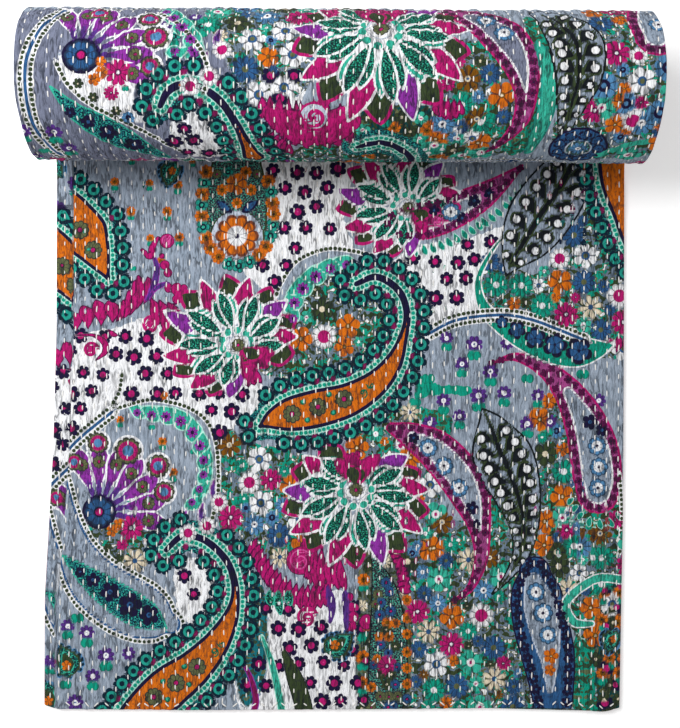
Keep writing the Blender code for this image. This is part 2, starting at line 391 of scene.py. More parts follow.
def outer_turn():
    """The outermost turn of the roll. Its radius is the spiral's and the puckers', and at both
    ends it turns in over the thickness of a ply."""
    angle = np.linspace(0.0, NIP + 0.06, int(RADIUS * math.tau / TOP_STEP))[:, None]
    right, free = edge("right", 0.24), edge("top_ply", 0.24)
    inner = ROLL_HALF - EDGE_IN[-1]
    middle = np.linspace(-inner, inner, (ROWS + 1) * FINE_PER_ROW)[1:-1]
    x = np.concatenate([np.array(EDGE_IN) - ROLL_HALF, middle, ROLL_HALF - np.array(EDGE_IN)[::-1]])
    drop = np.zeros(len(x))
    drop[: len(EDGE_DROP)] = EDGE_DROP
    drop[-len(EDGE_DROP) :] = EDGE_DROP[::-1]
    x = x[None] + 0 * angle
    ends = OUTER_WANDER * noise(angle * 2.3, np.sign(x) * 4 + 7, 8) - OUTER_IN
    x = x + np.sign(x) * ends * np.clip((np.abs(x) - 0.25) / 0.03, 0, 1)
    row = row_number(x, free, right)
    fade = np.clip((NIP - angle) * RADIUS / PRESSED, 0.05, 1.0) * np.clip(angle * 3, 0.05, 1)
    lift = puckers(row, angle * RADIUS, 11) * fade * np.clip(1 - drop / 0.0016, 0, 1)
    radius = outer_radius(angle) - RIDGE / 3 + lift - drop
    points = on_roll(x, angle, radius)
    points[..., 2] = np.maximum(points[..., 2], 0.0003 + drop)
    made = surface("outer_turn", points, flip=True)
    return made, x, angle + 0 * x


# The running stitches

THREAD_RADIUS = 0.00070
THREAD_RINGS = 6
THREAD_SIDES = 6
THREAD_ARCH = 0.0005
THREAD_SUNK = 0.00012
UNEVEN_STITCH = 0.0007
HEM_PITCH = 0.0098
HEM_IN = 0.0052
HEM_STITCH = 0.0064


def threads(name, middle, run, up, length):
    """Many short threads as one mesh. Each is a closed tube along its run, whose radius shrinks
    to its ends as (1 - u^4)^0.5 and which arches by (1 - u^2), where u goes from -1 to 1 along
    it. Two faces close each end of its six sides."""
    side = np.cross(run, up)
    u = np.linspace(-1.0, 1.0, THREAD_RINGS)
    thick = THREAD_RADIUS * np.sqrt(np.maximum(1 - u**4, 0.02))
    arch = THREAD_ARCH * (1 - u**2) - THREAD_SUNK
    turn = np.linspace(0, math.tau, THREAD_SIDES, endpoint=False)
    centre = middle[:, None] + run[:, None] * (length[:, None] / 2 * u)[..., None]
    centre = centre + up[:, None] * arch[None, :, None]
    ring = np.cos(turn)[None, None, :, None] * side[:, None, None]
    ring = ring + 0.8 * np.sin(turn)[None, None, :, None] * up[:, None, None]
    points = centre[:, :, None] + thick[None, :, None, None] * ring
    i, j = np.meshgrid(np.arange(THREAD_RINGS - 1), np.arange(THREAD_SIDES), indexing="ij")
    k = (j + 1) % THREAD_SIDES
    one = np.stack([i * THREAD_SIDES + j, i * THREAD_SIDES + k], -1).reshape(-1, 2)
    one = np.concatenate([one, one[:, ::-1] + THREAD_SIDES], 1)
    last = (THREAD_RINGS - 1) * THREAD_SIDES
    first_end = np.array([(0, 3, 2, 1), (0, 5, 4, 3)])
    last_end = np.array([(0, 1, 2, 3), (0, 3, 4, 5)]) + last
    one = np.concatenate([one, first_end, last_end])
    start = np.arange(len(middle)) * THREAD_RINGS * THREAD_SIDES
    faces = (start[:, None, None] + one[None]).reshape(-1, 4)
    placed = points.reshape(-1, 3) + (MIDDLE_X, MIDDLE_Y, 0.0)
    return mesh_piece(name, placed, faces[:, ::-1])


def lying_threads(name, x, y, z, lean, length):
    """Threads that lie on the flat stretch, turned from its rows by the given angles."""
    run = np.stack([np.sin(lean), np.cos(lean), 0 * y], -1)
    up = np.broadcast_to((0.0, 0.0, 1.0), run.shape)
    return threads(name, np.stack([x, y, z + 0 * y], -1), run, up, length)


def stitch_places(first, last, seed, rows):
    """Row numbers and places along the rows of the stitches between two places. A stitch lies
    where its row's beat is a whole number and a quarter, give or take a little."""
    chance = np.random.default_rng(seed)
    row, along = [], []
    for number in rows:
        phase = stitch_phase(float(number), seed)
        beats = np.arange(math.ceil(first / STITCH_PITCH + phase), last / STITCH_PITCH + phase)
        along.append((beats + 0.25 - phase) * STITCH_PITCH)
        row.append(np.full(len(beats), float(number)))
    row, along = np.concatenate(row), np.concatenate(along)
    along = along + chance.normal(0, UNEVEN_STITCH, len(along))
    length = STITCH_LENGTH * chance.uniform(0.72, 1.16, len(along))
    lean = chance.normal(0, 0.045, len(along))
    return row, along, length, lean


def flat_stitches():
    """The stitches of the flat stretch, on the top ply's rows."""
    row, y, length, lean = stitch_places(NEAR_EDGE + 0.004, NIP_Y - 0.004, 1, range(ROWS + 1))
    free, right = edge("top_ply", y), edge("right", y)
    x = free + (right - FOLD_IN - free) * row / ROWS
    x = np.where(row == 0, x + 0.0022, x)
    z = STACK - RIDGE / 2 + puckers(row_number(x, free, right), y, 1)
    return lying_threads("flat_stitches", x, y, z, lean, length)


def hem_stitches():
    """The slanted stitches over the near hem, turned one way and the other by turns."""
    first, last = edge("top_ply", NEAR_EDGE) + 0.012, edge("right", NEAR_EDGE) - 0.008
    places = np.arange(first, last, HEM_PITCH)
    chance = np.random.default_rng(7)
    x = places + chance.normal(0, 0.0012, len(places))
    y = near_hem(x) + HEM_IN
    lean = np.where(np.arange(len(x)) % 2, 0.9, -0.9) + chance.normal(0, 0.12, len(x))
    z = STACK - RIDGE / 2 + puckers(row_number(x, edge("top_ply", y), edge("right", y)), y, 1)
    length = HEM_STITCH * chance.uniform(0.8, 1.15, len(x))
    return lying_threads("hem_stitches", x, y, z, lean, length)


def roll_stitches():
    """The stitches of the outermost turn, on the same rows carried round the roll."""
    first, last = 0.12 * RADIUS, (NIP - 0.05) * RADIUS
    row, along, length, lean = stitch_places(first, last, 11, range(-1, ROWS + 1))
    angle = along / RADIUS
    free, right = edge("top_ply", 0.24), edge("right", 0.24)
    x = free + (right - FOLD_IN - free) * row / ROWS
    lift = puckers(row, along, 11)
    middle = on_roll(x, angle, outer_radius(angle) - RIDGE / 3 + lift)
    run = np.stack([np.sin(lean), np.cos(angle) * np.cos(lean), np.sin(angle) * np.cos(lean)], -1)
    up = np.stack([0 * angle, np.sin(angle), -np.cos(angle)], -1)
    return threads("roll_stitches", middle, run, up, length)


def strip_stitches():
    """The stitches of the strip that shows beside the top ply: one row, on the ply below it."""
    row, y, length, lean = stitch_places(NEAR_EDGE + 0.006, NIP_Y - 0.004, 31, (0,))
    x = (edge("left", y) + edge("top_ply", y)) / 2
    z = ply_height(PLIES - 1) + PLY / 2 + 0.0003
    return lying_threads("strip_stitches", x, y, z, lean, length)


# The print: where each motif lies, drawn in millimetres.
# A face of the cloth has print coordinates: U to the right and V towards the near hem, in
# millimetres. On the flat stretch they are the photo's pixels, on the roll V runs round it.
# Shapes are outlines in these coordinates, made by the formulas below from a few points of a
# middle line and the widths there.

FLAT_SCALE = 1000.0 * CAMERA_HEIGHT / (CAMERA_HEIGHT - STACK)
ROLL_MM = RADIUS * 1000.0


def srgb(red, green, blue):
    """A printed colour, from the values 0 to 255 that a screen shows, as linear light."""
    shown = np.array([red, green, blue]) / 255.0
    return tuple(np.where(shown <= 0.04045, shown / 12.92, ((shown + 0.055) / 1.055) ** 2.4))


INK = {
    "white": srgb(248, 249, 252),
    "grey": srgb(112, 130, 148),
    # pale_grey is also the painted highlight streaked over the grey ground
    "pale_grey": srgb(200, 210, 226),
    "teal": srgb(12, 158, 132),
    "sea": srgb(56, 184, 158),
    "mint": srgb(184, 236, 222),
    "dark_teal": srgb(6, 74, 76),
    "green": srgb(22, 108, 76),
    "navy": srgb(26, 20, 58),
    "black": srgb(18, 24, 26),
    "magenta": srgb(188, 24, 112),
    "pink": srgb(216, 84, 158),
    "plum": srgb(96, 14, 72),
    "purple": srgb(146, 52, 164),
    "violet": srgb(88, 50, 136),
    "orange": srgb(218, 112, 20),
    "brown": srgb(122, 78, 14),
    "olive": srgb(56, 70, 42),
    "blue": srgb(46, 92, 142),
    "sky": srgb(84, 138, 184),
    "cream": srgb(236, 222, 194),
    "lagoon": srgb(24, 116, 128),
    "petrol": srgb(6, 36, 54),
    "moss": srgb(100, 106, 70),
    "wine": srgb(142, 22, 90),
    "rose": srgb(176, 92, 112),
    "mauve": srgb(168, 72, 138),
    "slate": srgb(96, 108, 104),
    "ash": srgb(154, 168, 186),
    "dusk": srgb(122, 128, 150),
    "jade": srgb(36, 158, 142),
}
SPECKLED = ("green", "dark_teal", "lagoon", "slate")


def smooth_line(points, closed=False, step=1.6):
    """A line through given points, bent by the Catmull-Rom formula, with points step apart."""
    p = np.asarray(points, float)
    if closed:
        p = np.concatenate([p[-1:], p, p[:2]])
    else:
        p = np.concatenate([2 * p[:1] - p[1:2], p, 2 * p[-1:] - p[-2:-1]])
    parts = []
    for a, b, c, d in zip(p, p[1:], p[2:], p[3:]):
        t = np.linspace(0, 1, max(3, int(np.linalg.norm(c[:2] - b[:2]) / step)), endpoint=False)
        t = t[:, None]
        bent = 2 * b + (c - a) * t + (2 * a - 5 * b + 4 * c - d) * t**2
        parts.append(0.5 * (bent + (3 * b - a - 3 * c + d) * t**3))
    if not closed:
        parts.append(p[-2:-1])
    return np.concatenate(parts)


def lengths_along(line):
    """How far along a line each of its points is."""
    return np.concatenate([[0.0], np.cumsum(np.linalg.norm(np.diff(line[:, :2], axis=0), axis=1))])


def normals(line):
    """The sideways direction at each point of a line, to the right of its run."""
    run = np.gradient(line[:, :2], axis=0)
    run /= np.maximum(np.linalg.norm(run, axis=1, keepdims=True), 1e-9)
    return np.stack([-run[:, 1], run[:, 0]], 1)


def ribbon(spine, grow=0.0):
    """The outline of a shape with a bent middle line: spine rows are (U, V, half width). Both
    sides stand off by the half width plus grow, and half circles of that size end it."""
    line = smooth_line(spine)
    half = np.maximum(line[:, 2] + grow, 0.05)
    side = normals(line)
    across = side * half[:, None]
    ends = []
    for at, sign in ((-1, 1.0), (0, -1.0)):
        turn = np.linspace(0, math.pi, 9)[1:-1]
        ahead = np.array([side[at][1], -side[at][0]]) * sign
        arc = np.cos(turn)[:, None] * side[at] * sign + np.sin(turn)[:, None] * ahead
        ends.append(line[at, :2] + half[at] * arc)
    return np.concatenate([line[:, :2] + across, ends[0], (line[:, :2] - across)[::-1], ends[1]])


def leaf(root, tip, width, bow=0.0, fullest=0.5):
    """A pointed petal or leaf from root to tip. Its half width is width/2 sin(pi t^k)^0.8, with
    k set so that it is fullest at the given share, and its middle line bows by bow sin(pi t)."""
    root, tip = np.asarray(root, float), np.asarray(tip, float)
    t = np.linspace(0.0, 1.0, 22)
    power = math.log(0.5) / math.log(fullest)
    half = width / 2 * np.abs(np.sin(math.pi * t**power)) ** 0.8
    run = tip - root
    side = np.array([-run[1], run[0]]) / np.linalg.norm(run)
    middle = root + run * t[:, None] + side * (bow * np.sin(math.pi * t))[:, None]
    return np.concatenate([middle + side * half[:, None], (middle - side * half[:, None])[-2:0:-1]])


def disc(centre, radius, squash=1.0):
    """A round outline, 32 points."""
    turn = np.linspace(0, math.tau, 32, endpoint=False)
    return np.stack([np.cos(turn), squash * np.sin(turn)], 1) * radius + np.asarray(centre, float)


def nearest_on(line, u, v, closed):
    """For points (u, v): the distance to a line, how far along it the nearest place is, and the
    distance with a sign, positive to the right of its run."""
    ends = np.concatenate([line, line[:1]]) if closed else line
    start, run = ends[:-1], np.diff(ends, axis=0)
    square = np.maximum((run**2).sum(1), 1e-9)
    du, dv = u[:, None] - start[None, :, 0], v[:, None] - start[None, :, 1]
    t = np.clip((du * run[:, 0] + dv * run[:, 1]) / square, 0, 1)
    off = (du - t * run[:, 0]) ** 2 + (dv - t * run[:, 1]) ** 2
    best = np.argmin(off, 1)
    pick = np.arange(len(u))
    distance = np.sqrt(off[pick, best])
    size = np.sqrt(square)
    before = np.concatenate([[0.0], np.cumsum(size)[:-1]])
    side = run[best, 0] * dv[pick, best] - run[best, 1] * du[pick, best]
    return distance, before[best] + t[pick, best] * size[best], distance * np.sign(side)


def inside(line, u, v):
    """Whether points lie within a closed outline, by counting its crossings to the right."""
    a, b = line, np.roll(line, -1, 0)
    rise = np.where(b[:, 1] == a[:, 1], 1e-9, b[:, 1] - a[:, 1])
    spans = (a[None, :, 1] > v[:, None]) != (b[None, :, 1] > v[:, None])
    crossing = a[None, :, 0] + (v[:, None] - a[None, :, 1]) / rise * (b - a)[None, :, 0]
    return (spans & (u[:, None] < crossing)).sum(1) % 2 == 1


NEAR = 9.0
TWIN_OFF = 4.7
BEAD_PITCH = 4.7


def box_of(line, u, v, margin):
    """The numbers of the points within a margin of a line's box."""
    low, high = line.min(0) - margin, line.max(0) + margin
    return np.nonzero((u > low[0]) & (u < high[0]) & (v > low[1]) & (v < high[1]))[0]


def depth_in(outline, u, v):
    """How deep points lie within an outline, in millimetres, and less than zero outside it."""
    distance, _, _ = nearest_on(outline, u, v, True)
    return np.where(inside(outline, u, v), distance, -distance)


def lay_shapes(shapes, u, v, rims=True):
    """Lays printed shapes one over another. Each is an outline, a fill colour, a rim colour and
    a rim width. A point belongs to the topmost shape that it is in, and its depth is the least
    of its depth in that shape and its distance from the shapes above, whose rims show a
    little on it too. Outside them all the depth is below zero. Returns the fill with the depth,
    the rim with its width, and which points have a speckled ink."""
    count = len(u)
    depth = np.full(count, -NEAR)
    above = np.full(count, -NEAR)
    owned = np.zeros(count, bool)
    fill = np.zeros((count, 3))
    rim = np.zeros((count, 3))
    width, speckled = np.zeros(count), np.zeros(count)
    upper_rim, upper_width = np.zeros((count, 3)), np.zeros(count)
    for outline, fill_ink, rim_ink, rim_width in reversed(shapes):
        at = box_of(outline, u, v, NEAR)
        if not len(at):
            continue
        deep = depth_in(outline, u[at], v[at])
        takes = ~owned[at] & ((deep > 0) | (deep > above[at]))
        new = at[takes]
        fill[new], rim[new], width[new] = INK[fill_ink], INK[rim_ink], rim_width
        speckled[new] = fill_ink in SPECKLED
        own = ~owned[at] & (deep > 0)
        mine = at[own]
        under = mine[rims & (-above[mine] < deep[own])]
        rim[under], width[under] = upper_rim[under], 0.4 * upper_width[under]
        depth[mine] = np.minimum(deep[own], -above[mine])
        owned[mine] = True
        higher = at[deep > above[at]]
        upper_rim[higher], upper_width[higher] = INK[rim_ink], rim_width
        above[at] = np.maximum(above[at], deep)
    depth = np.where(owned, depth, above)
    return np.column_stack([fill, depth]), np.column_stack([rim, width]), speckled


def lay_lines(lines, twins, u, v):
    """Lays beaded bands and plain lines. Each is a line, whether it is closed, its half width,
    its bead pitch or 0, and two inks. Returns the side distance, the distance, the count of
    beads and how many strings of beads it has; then the band's ink with its half width; then
    the beads'."""
    count = len(u)
    place = np.tile([99.0, 99.0, 0.0, 0.0], (count, 1))
    band, bead = np.zeros((count, 4)), np.zeros((count, 4))
    for number, (line, closed, half, pitch, band_ink, bead_ink) in enumerate(lines):
        strings = 2.0 if number in twins else float(pitch > 0)
        at = box_of(line, u, v, half + 8)
        if not len(at):
            continue
        distance, along, side = nearest_on(line, u[at], v[at], closed)
        nearer = distance - half < place[at, 1] - band[at, 3]
        new = at[nearer]
        beads = along[nearer] / pitch if pitch else 0 * along[nearer]
        place[new] = np.column_stack([side[nearer], distance[nearer], beads, 0 * beads + strings])
        band[new] = (*INK[band_ink], half)
        bead[new] = (*INK[bead_ink], 1.0)
    return place, band, bead


def lay_blooms(blooms, u, v):
    """Lays round flowers. Each is a centre, a radius, a turn in degrees, a kind of BLOOMS, and
    whether it lies over the shapes. A point takes the bloom whose centre is the fewest of its
    own radii away. Returns that bloom's unit coordinates, the radii away and its petals, which
    are below zero over the shapes; and its three inks with petal depth, ring and heart sizes."""
    count = len(u)
    place = np.tile([9.0, 9.0, 9.0, 5.0], (count, 1))
    inks = [np.zeros((count, 4)) for _ in range(3)]
    for centre_u, centre_v, radius, turn, kind, over in blooms:
        reach = 1.7 * radius + 3
        at = np.nonzero((np.abs(u - centre_u) < reach) & (np.abs(v - centre_v) < reach))[0]
        across, down = (u[at] - centre_u) / radius, (v[at] - centre_v) / radius
        away = np.hypot(across, down)
        nearer = away < place[at, 2]
        new, across, down = at[nearer], across[nearer], down[nearer]
        c, s = math.cos(math.radians(turn)), math.sin(math.radians(turn))
        petals, petal_depth, petal, ring_size, ring, heart_size, heart = BLOOMS[kind]
        signed = np.full(len(new), -petals if over else petals)
        turned = (c * across + s * down, c * down - s * across)
        place[new] = np.column_stack([*turned, away[nearer], signed])
        inks[0][new] = (*INK[petal], petal_depth)
        inks[1][new] = (*INK[ring], ring_size)
        inks[2][new] = (*INK[heart], heart_size)
    return place, *inks


# Each kind has its petals, how deep the notches between them are, the petals' ink, the ring's
# size and ink, and the heart's; sizes are shares of the radius. A heart below 0 is for flowers
# with dark outlines.
BLOOMS = {
    "ring_flower": (6, 0.30, "petrol", 0.60, "jade", 0.30, "petrol"),
    "navy_flower": (6, 0.34, "navy", 0.42, "magenta", 0.10, "pink"),
    "orange_sprig": (8, 0.24, "orange", 0.44, "brown", 0.2, "black"),
    "purple_sprig": (8, 0.34, "violet", 0.34, "white", 0.15, "blue"),
    "sprig_leaf": (2, 0.62, "teal", 0.0, "teal", 0.0, "teal"),
    "rosette": (9, 0.18, "moss", 0.32, "black", -0.24, "magenta"),
    "blue_rosette": (10, 0.16, "blue", 0.36, "navy", -0.24, "magenta"),
    "cap": (11, 0.16, "moss", 0.70, "magenta", -0.40, "sky"),
    "orange_bloom": (5, 0.40, "orange", 0.24, "brown", 0.12, "cream"),
    "green_daisy": (11, 0.30, "teal", 0.26, "white", 0.0, "white"),
    "blue_daisy": (11, 0.34, "blue", 0.24, "moss", 0.0, "white"),
    "sky_daisy": (10, 0.40, "sky", 0.30, "white", 0.14, "navy"),
    "blue_round": (8, 0.20, "sky", 0.46, "navy", 0.2, "sky"),
    "magenta_daisy": (10, 0.36, "magenta", 0.26, "plum", 0.14, "white"),
    "white_scallop": (9, 0.24, "white", 0.52, "magenta", 0.0, "magenta"),
    "cream_daisy": (8, 0.80, "cream", 0.22, "blue", 0.0, "blue"),
    "brown_daisy": (8, 0.56, "brown", 0.22, "cream", 0.12, "blue"),
    "white_flower": (6, 0.40, "white", 0.36, "blue", 0.2, "moss"),
    "teal_bloom": (5, 0.34, "sea", 0.34, "white", 0.16, "magenta"),
    "olive_bloom": (6, 0.40, "olive", 0.24, "cream", 0.0, "cream"),
    "purple_bloom": (8, 0.44, "purple", 0.36, "navy", 0.12, "white"),
    "leaf_flower": (5, 0.42, "navy", 0.66, "blue", -0.14, "navy"),
    "night_flower": (5, 0.42, "navy", 0.26, "blue", 0.12, "navy"),
    "leaflet": (1, 0.6, "green", 0.5, "sea", 0.0, "sea"),
    "magenta_dot": (3, 0.10, "wine", 0.0, "wine", 0.0, "wine"),
    "plum_flower": (4, 0.50, "plum", 0.26, "navy", 0.0, "pink"),
    "star_daisy": (8, 0.20, "sky", 0.54, "white", -0.18, "navy"),
    "medallion": (10, 0.20, "orange", 0.46, "white", -0.12, "navy"),
    "teal_sprig": (5, 0.34, "jade", 0.46, "petrol", -0.24, "sea"),
    "white_dot": (1, 0.0, "white", 0.0, "white", 0.0, "white"),
}
MEADOW = (
    "orange_bloom", "green_daisy", "blue_daisy", "blue_round", "magenta_daisy", "white_scallop",
    "cream_daisy", "white_flower", "teal_bloom", "olive_bloom", "orange_bloom", "green_daisy",
    "brown_daisy", "magenta_daisy", "orange_bloom", "blue_daisy", "sky_daisy", "teal_bloom",
)


class Print:
    """The motifs of one face of the cloth, from the bottom up."""

    def __init__(self, place=None):
        self.place = place or (lambda points: np.asarray(points, float))
        self.zones, self.shapes, self.lines, self.blooms = [], [], [], []
        self.twins = set()

    def at(self, points):
        """Points of the photo, as print coordinates; any third number, a width, is kept."""
        points = np.atleast_2d(np.asarray(points, float))
        return np.concatenate([self.place(points[:, :2]), points[:, 2:]], 1)

    def zone(self, points, ink, leafy=0.0):
        """A patch of ground within a smooth outline."""
        self.zones.append((smooth_line(self.at(points), closed=True, step=4), ink, ink, leafy))

    def shape(self, outline, fill, rim, rim_width):
        """A printed shape, whose outline is in print coordinates."""
        self.shapes.append((outline, fill, rim, rim_width))

    def line(self, points, half, pitch, band, bead, closed=False):
        """A band or thin line through places of the photo."""
        drawn = smooth_line(self.at(points))[:, :2]
        self.lines.append((drawn, closed, half, pitch, band, bead))

    def borrow(self, other, low, high, shift):
        """Repeats what another face shows between two places, moved along the cloth."""
        for outline, *inks in other.zones:
            if low < outline[:, 1].mean() < high:
                self.zones.append((outline + (0, shift), *inks))
        for outline, *inks in other.shapes:
            if low < outline[:, 1].mean() < high:
                self.shapes.append((outline + (0, shift), *inks))
        for number, (line, *rest) in enumerate(other.lines):
            if low < line[:, 1].mean() < high:
                if number in other.twins:
                    self.twins.add(len(self.lines))
                self.lines.append((line + (0, shift), *rest))
        for u, v, *rest in other.blooms:
            if low < v < high:
                self.blooms.append((u, v + shift, *rest))

    def bloom(self, centre, radius, kind, turn=0.0, over=True):
        """A flower at a place of the photo."""
        u, v = self.at([centre])[0]
        self.blooms.append((u, v, radius, turn, kind, over))


def flowers(face, kind, places):
    """Flowers of one kind: places are (U, V, radius) in the photo."""
    for u, v, radius in places:
        face.bloom((u, v), radius, kind)


def row_of_blooms(face, line, spacing, radius, kind, clear_of=None, clear=0.0):
    """Flowers at even steps along a closed line, left out where they would lie too near the
    shape that they go round, or near each other."""
    along = lengths_along(line)
    placed = []
    for step in np.arange(0.0, along[-1] - spacing * 0.6, spacing):
        u = np.interp(step, along, line[:, 0])
        v = np.interp(step, along, line[:, 1])
        if clear_of is not None and depth_in(clear_of, np.array([u]), np.array([v]))[0] > -clear:
            continue
        if any(math.hypot(u - a, v - b) < spacing * 0.8 for a, b in placed[-60:]):
            continue
        placed.append((u, v))
        face.blooms.append((u, v, radius, 23.0 * len(placed), kind, True))


# How far the parts of a hooked paisley lie outside its drop, and how big its flowers are
HOOK_BORDER = 14.0
HOOK_BAND = 7.2
HOOK_BEADS = 4.3
HOOK_DOTS = 9.4
HOOK_RINGS = 15.4
RING_SIZE = 9.4
RING_STEP = 17.0
DOT_SIZE = 3.2
DOT_STEP = 16.8
ROSETTE_SIZE = 9.6
DAISY_SIZE = 9.8


def hooked_paisley(face, spine, hearts):
    """An orange drop with a long hooked tail: a navy outline, a beaded band round it, a row of
    ring flowers outside that with magenta dots between, and rosettes along its middle with a
    pair of small leaves between each two."""
    spine = face.at(spine)
    navy = ribbon(spine, 1.2)
    face.shape(ribbon(spine, HOOK_BORDER), "lagoon", "lagoon", 0.0)
    face.shape(ribbon(spine, HOOK_BAND), "white", "white", 0.0)
    face.shape(navy, "orange", "navy", 3.2)
    face.lines.append((ribbon(spine, HOOK_BEADS), True, 2.7, 4.6, "mint", "teal"))
    row_of_blooms(face, ribbon(spine, HOOK_RINGS), RING_STEP, RING_SIZE, "ring_flower", navy, 12.5)
    row_of_blooms(face, ribbon(spine, HOOK_DOTS), DOT_STEP, DOT_SIZE, "magenta_dot", navy, 7.8)
    flowers(face, "rosette", [(*heart, ROSETTE_SIZE) for heart in hearts])
    for (u, v), (next_u, next_v) in zip(hearts, hearts[1:]):
        for lift in (-9, 9):
            face.bloom(((u + next_u) / 2 + lift / 4, (v + next_v) / 2 + lift), 3.6, "leaflet", 70)


def bordered_paisley(face, spine, daisies, fill="ash"):
    """A drop with a broad mauve border of small dark flowers, and daisies on its heart, which is
    drawn where the drop is wide enough."""
    spine = face.at(spine)
    face.shape(ribbon(spine, 0.0), "mauve", "magenta", 2.3)
    inner = spine.copy()
    inner[:, 2] -= 10.0
    wide = inner[inner[:, 2] > 0.6]
    row = spine.copy()
    row[:, 2] = np.maximum(spine[:, 2] - 5.4, 0.3)
    row_of_blooms(face, ribbon(row), 9.6, 4.3, "plum_flower")
    if len(wide) > 1:
        face.shape(ribbon(wide, 0.0), fill, "white", 1.4)
    flowers(face, "star_daisy", [(*daisy, DAISY_SIZE) for daisy in daisies])


def beaded_paisley(face, spine):
    """A grey drop with a string of dark beads on a white band round it."""
    spine = face.at(spine)
    face.shape(ribbon(spine, 3.2), "white", "white", 0.0)
    face.lines.append((ribbon(spine, 1.4), True, 2.4, 4.6, "white", "olive"))
    face.shape(ribbon(spine, -2.0), "ash", "blue", 1.6)


def blue_drop(face, spine, heart):
    """A blue drop with a row of dark flowers round its grey heart."""
    spine = face.at(spine)
    face.shape(ribbon(spine), "blue", "navy", 1.6)
    row_of_blooms(face, ribbon(spine, -6.5), 11, 5.6, "night_flower")
    face.shape(ribbon(face.at(heart)), "ash", "pale_grey", 1.2)


def band(face, spine, rim, rim_width):
    """A bent band of light teal."""
    face.shape(ribbon(face.at(spine)), "sea", rim, rim_width)


def round_of_flowers(face, centre, radius):
    """A blue round with nine dark flowers round a daisy on a green disc."""
    u, v = face.at([centre])[0]
    face.shape(disc((u, v), radius), "blue", "navy", 2.2)
    face.shape(disc((u, v), radius - 15), "slate", "pale_grey", 1.2)
    face.bloom(centre, 9, "sky_daisy")
    for degrees in range(0, 360, 40):
        a = math.radians(degrees)
        place = u + (radius - 8.5) * math.cos(a), v + (radius - 8.5) * math.sin(a)
        face.blooms.append((*place, 6.4, 0.0, "leaf_flower", True))


def leaf_spray(face, spine, places, fill="teal", rim="white", kind="leaf_flower"):
    """A teal leaf with a bent middle line and dark flowers that grow along it."""
    face.shape(ribbon(face.at(spine)), fill, rim, 1.4)
    for u, v, radius in places:
        face.bloom((u, v), radius, kind, turn=17 * radius)


def fringe(face, points, reach, ink="teal"):
    """Small leaves along a line through places of the photo, out to its right or, with reach
    below 0, to its left."""
    line = smooth_line(face.at(points))[:, :2]
    side = normals(line)
    for step in np.arange(3.0, lengths_along(line)[-1], 8.2):
        i = int(np.searchsorted(lengths_along(line), step)) - 1
        tip = line[i] + side[i] * reach + (2.0, 1.0)
        face.shape(leaf(line[i], tip, 6.4, 1, 0.6), ink, "mint", 0.6)


def pod(face, spine, pairs, start=0.12, stop=0.86):
    """A grey pod with a dark outline. On each side of its vein lie dark drops, each with a
    white seed at its outer end."""
    spine = face.at(spine)
    face.shape(ribbon(spine, 0.0), "ash", "black", 2.0)
    middle = smooth_line(spine)
    side = normals(middle)
    along = lengths_along(middle) / lengths_along(middle)[-1]
    vein = middle.copy()
    vein[:, 2] = np.clip(vein[:, 2] * 0.13, 0.5, 3.4)
    face.shape(ribbon(vein[3:-3][::4]), "black", "olive", 1.0)
    for share in np.linspace(start, stop, pairs):
        i = int(np.searchsorted(along, share))
        ahead = min(i + 5, len(middle) - 1)
        for hand in (-1.0, 1.0):
            root = middle[ahead, :2] + side[ahead] * hand * 1.0
            out = middle[i, :2] + side[i] * hand * middle[i, 2] * 0.6
            size = min(16.0, 0.55 * middle[i, 2] + 3.8)
            drop = leaf(root, out + (out - root) * 0.4, size, hand * 1.5, 0.7)
            face.shape(drop, "black", "olive", 1.2)
            face.blooms.append((*out, size * 0.25, 0.0, "white_dot", True))


def lotus(face, centre, radius, turn=0.0, squash=0.9):
    """A lotus seen from the side and opened flat, with a gap where its stem is, towards which
    its petals are shorter. From the back its rings are olive petals with magenta rims, magenta
    and purple ones with white rims, green ones, small teal ones and a round of teal scales. In
    the gap lies a bud with magenta leaves."""
    u, v = face.at([centre])[0]

    def out(degrees, share):
        bearing = math.radians(degrees + turn)
        far = radius * share * (1.0 - 0.2 * math.cos(math.radians(degrees - 285)))
        return np.array([u + math.cos(bearing) * far, v - math.sin(bearing) * far * squash])

    def ring(first, near, far, width, bow, fullest, inks, rim, rim_width):
        for number, degrees in enumerate(np.arange(first, 235, 36)):
            root, tip = out(degrees, near), out(degrees + 3, far)
            petal = leaf(root, tip, width * radius / 62, bow, fullest)
            face.shape(petal, inks[number % len(inks)], rim, rim_width)

    ring(-42, 0.35, 1.12, 26, 3, 0.6, ("olive",), "magenta", 3.2)
    ring(-24, 0.25, 1.14, 21, -3, 0.5, ("magenta", "purple", "magenta"), "white", 1.7)
    ring(-42, 0.3, 0.8, 11, 0, 0.6, ("sea",), "white", 1.4)
    ring(-24, 0.2, 0.76, 12, -1, 0.58, ("green",), "white", 1.5)
    ring(-33, 0.2, 0.88, 14, 1, 0.58, ("green",), "white", 1.6)
    for degrees in np.arange(-40, 246, 34):
        face.shape(disc(out(degrees, 0.23), radius * 0.07), "sea", "white", 0.9)
    face.shape(disc((u, v), radius * 0.18, squash), "white", "pale_grey", 1.6)
    for lean, far, fill, rim in (
        (-32, 0.86, "magenta", "wine"), (30, 0.74, "magenta", "wine"), (4, 0.8, "wine", "magenta"),
        (-16, 0.5, "olive", "magenta"), (14, 0.54, "olive", "magenta"),
    ):
        bud = leaf(out(286, 0.04), out(286 + lean, far), radius * 0.24, lean / 9, 0.6)
        face.shape(bud, fill, rim, 1.6)
    face.blooms.append((u, v, radius * 0.11, 0.0, "rosette", True))
    for degrees in np.linspace(-40, 230, 13):
        face.blooms.append((*out(degrees, 0.16), 1.7, 0.0, "white_dot", True))


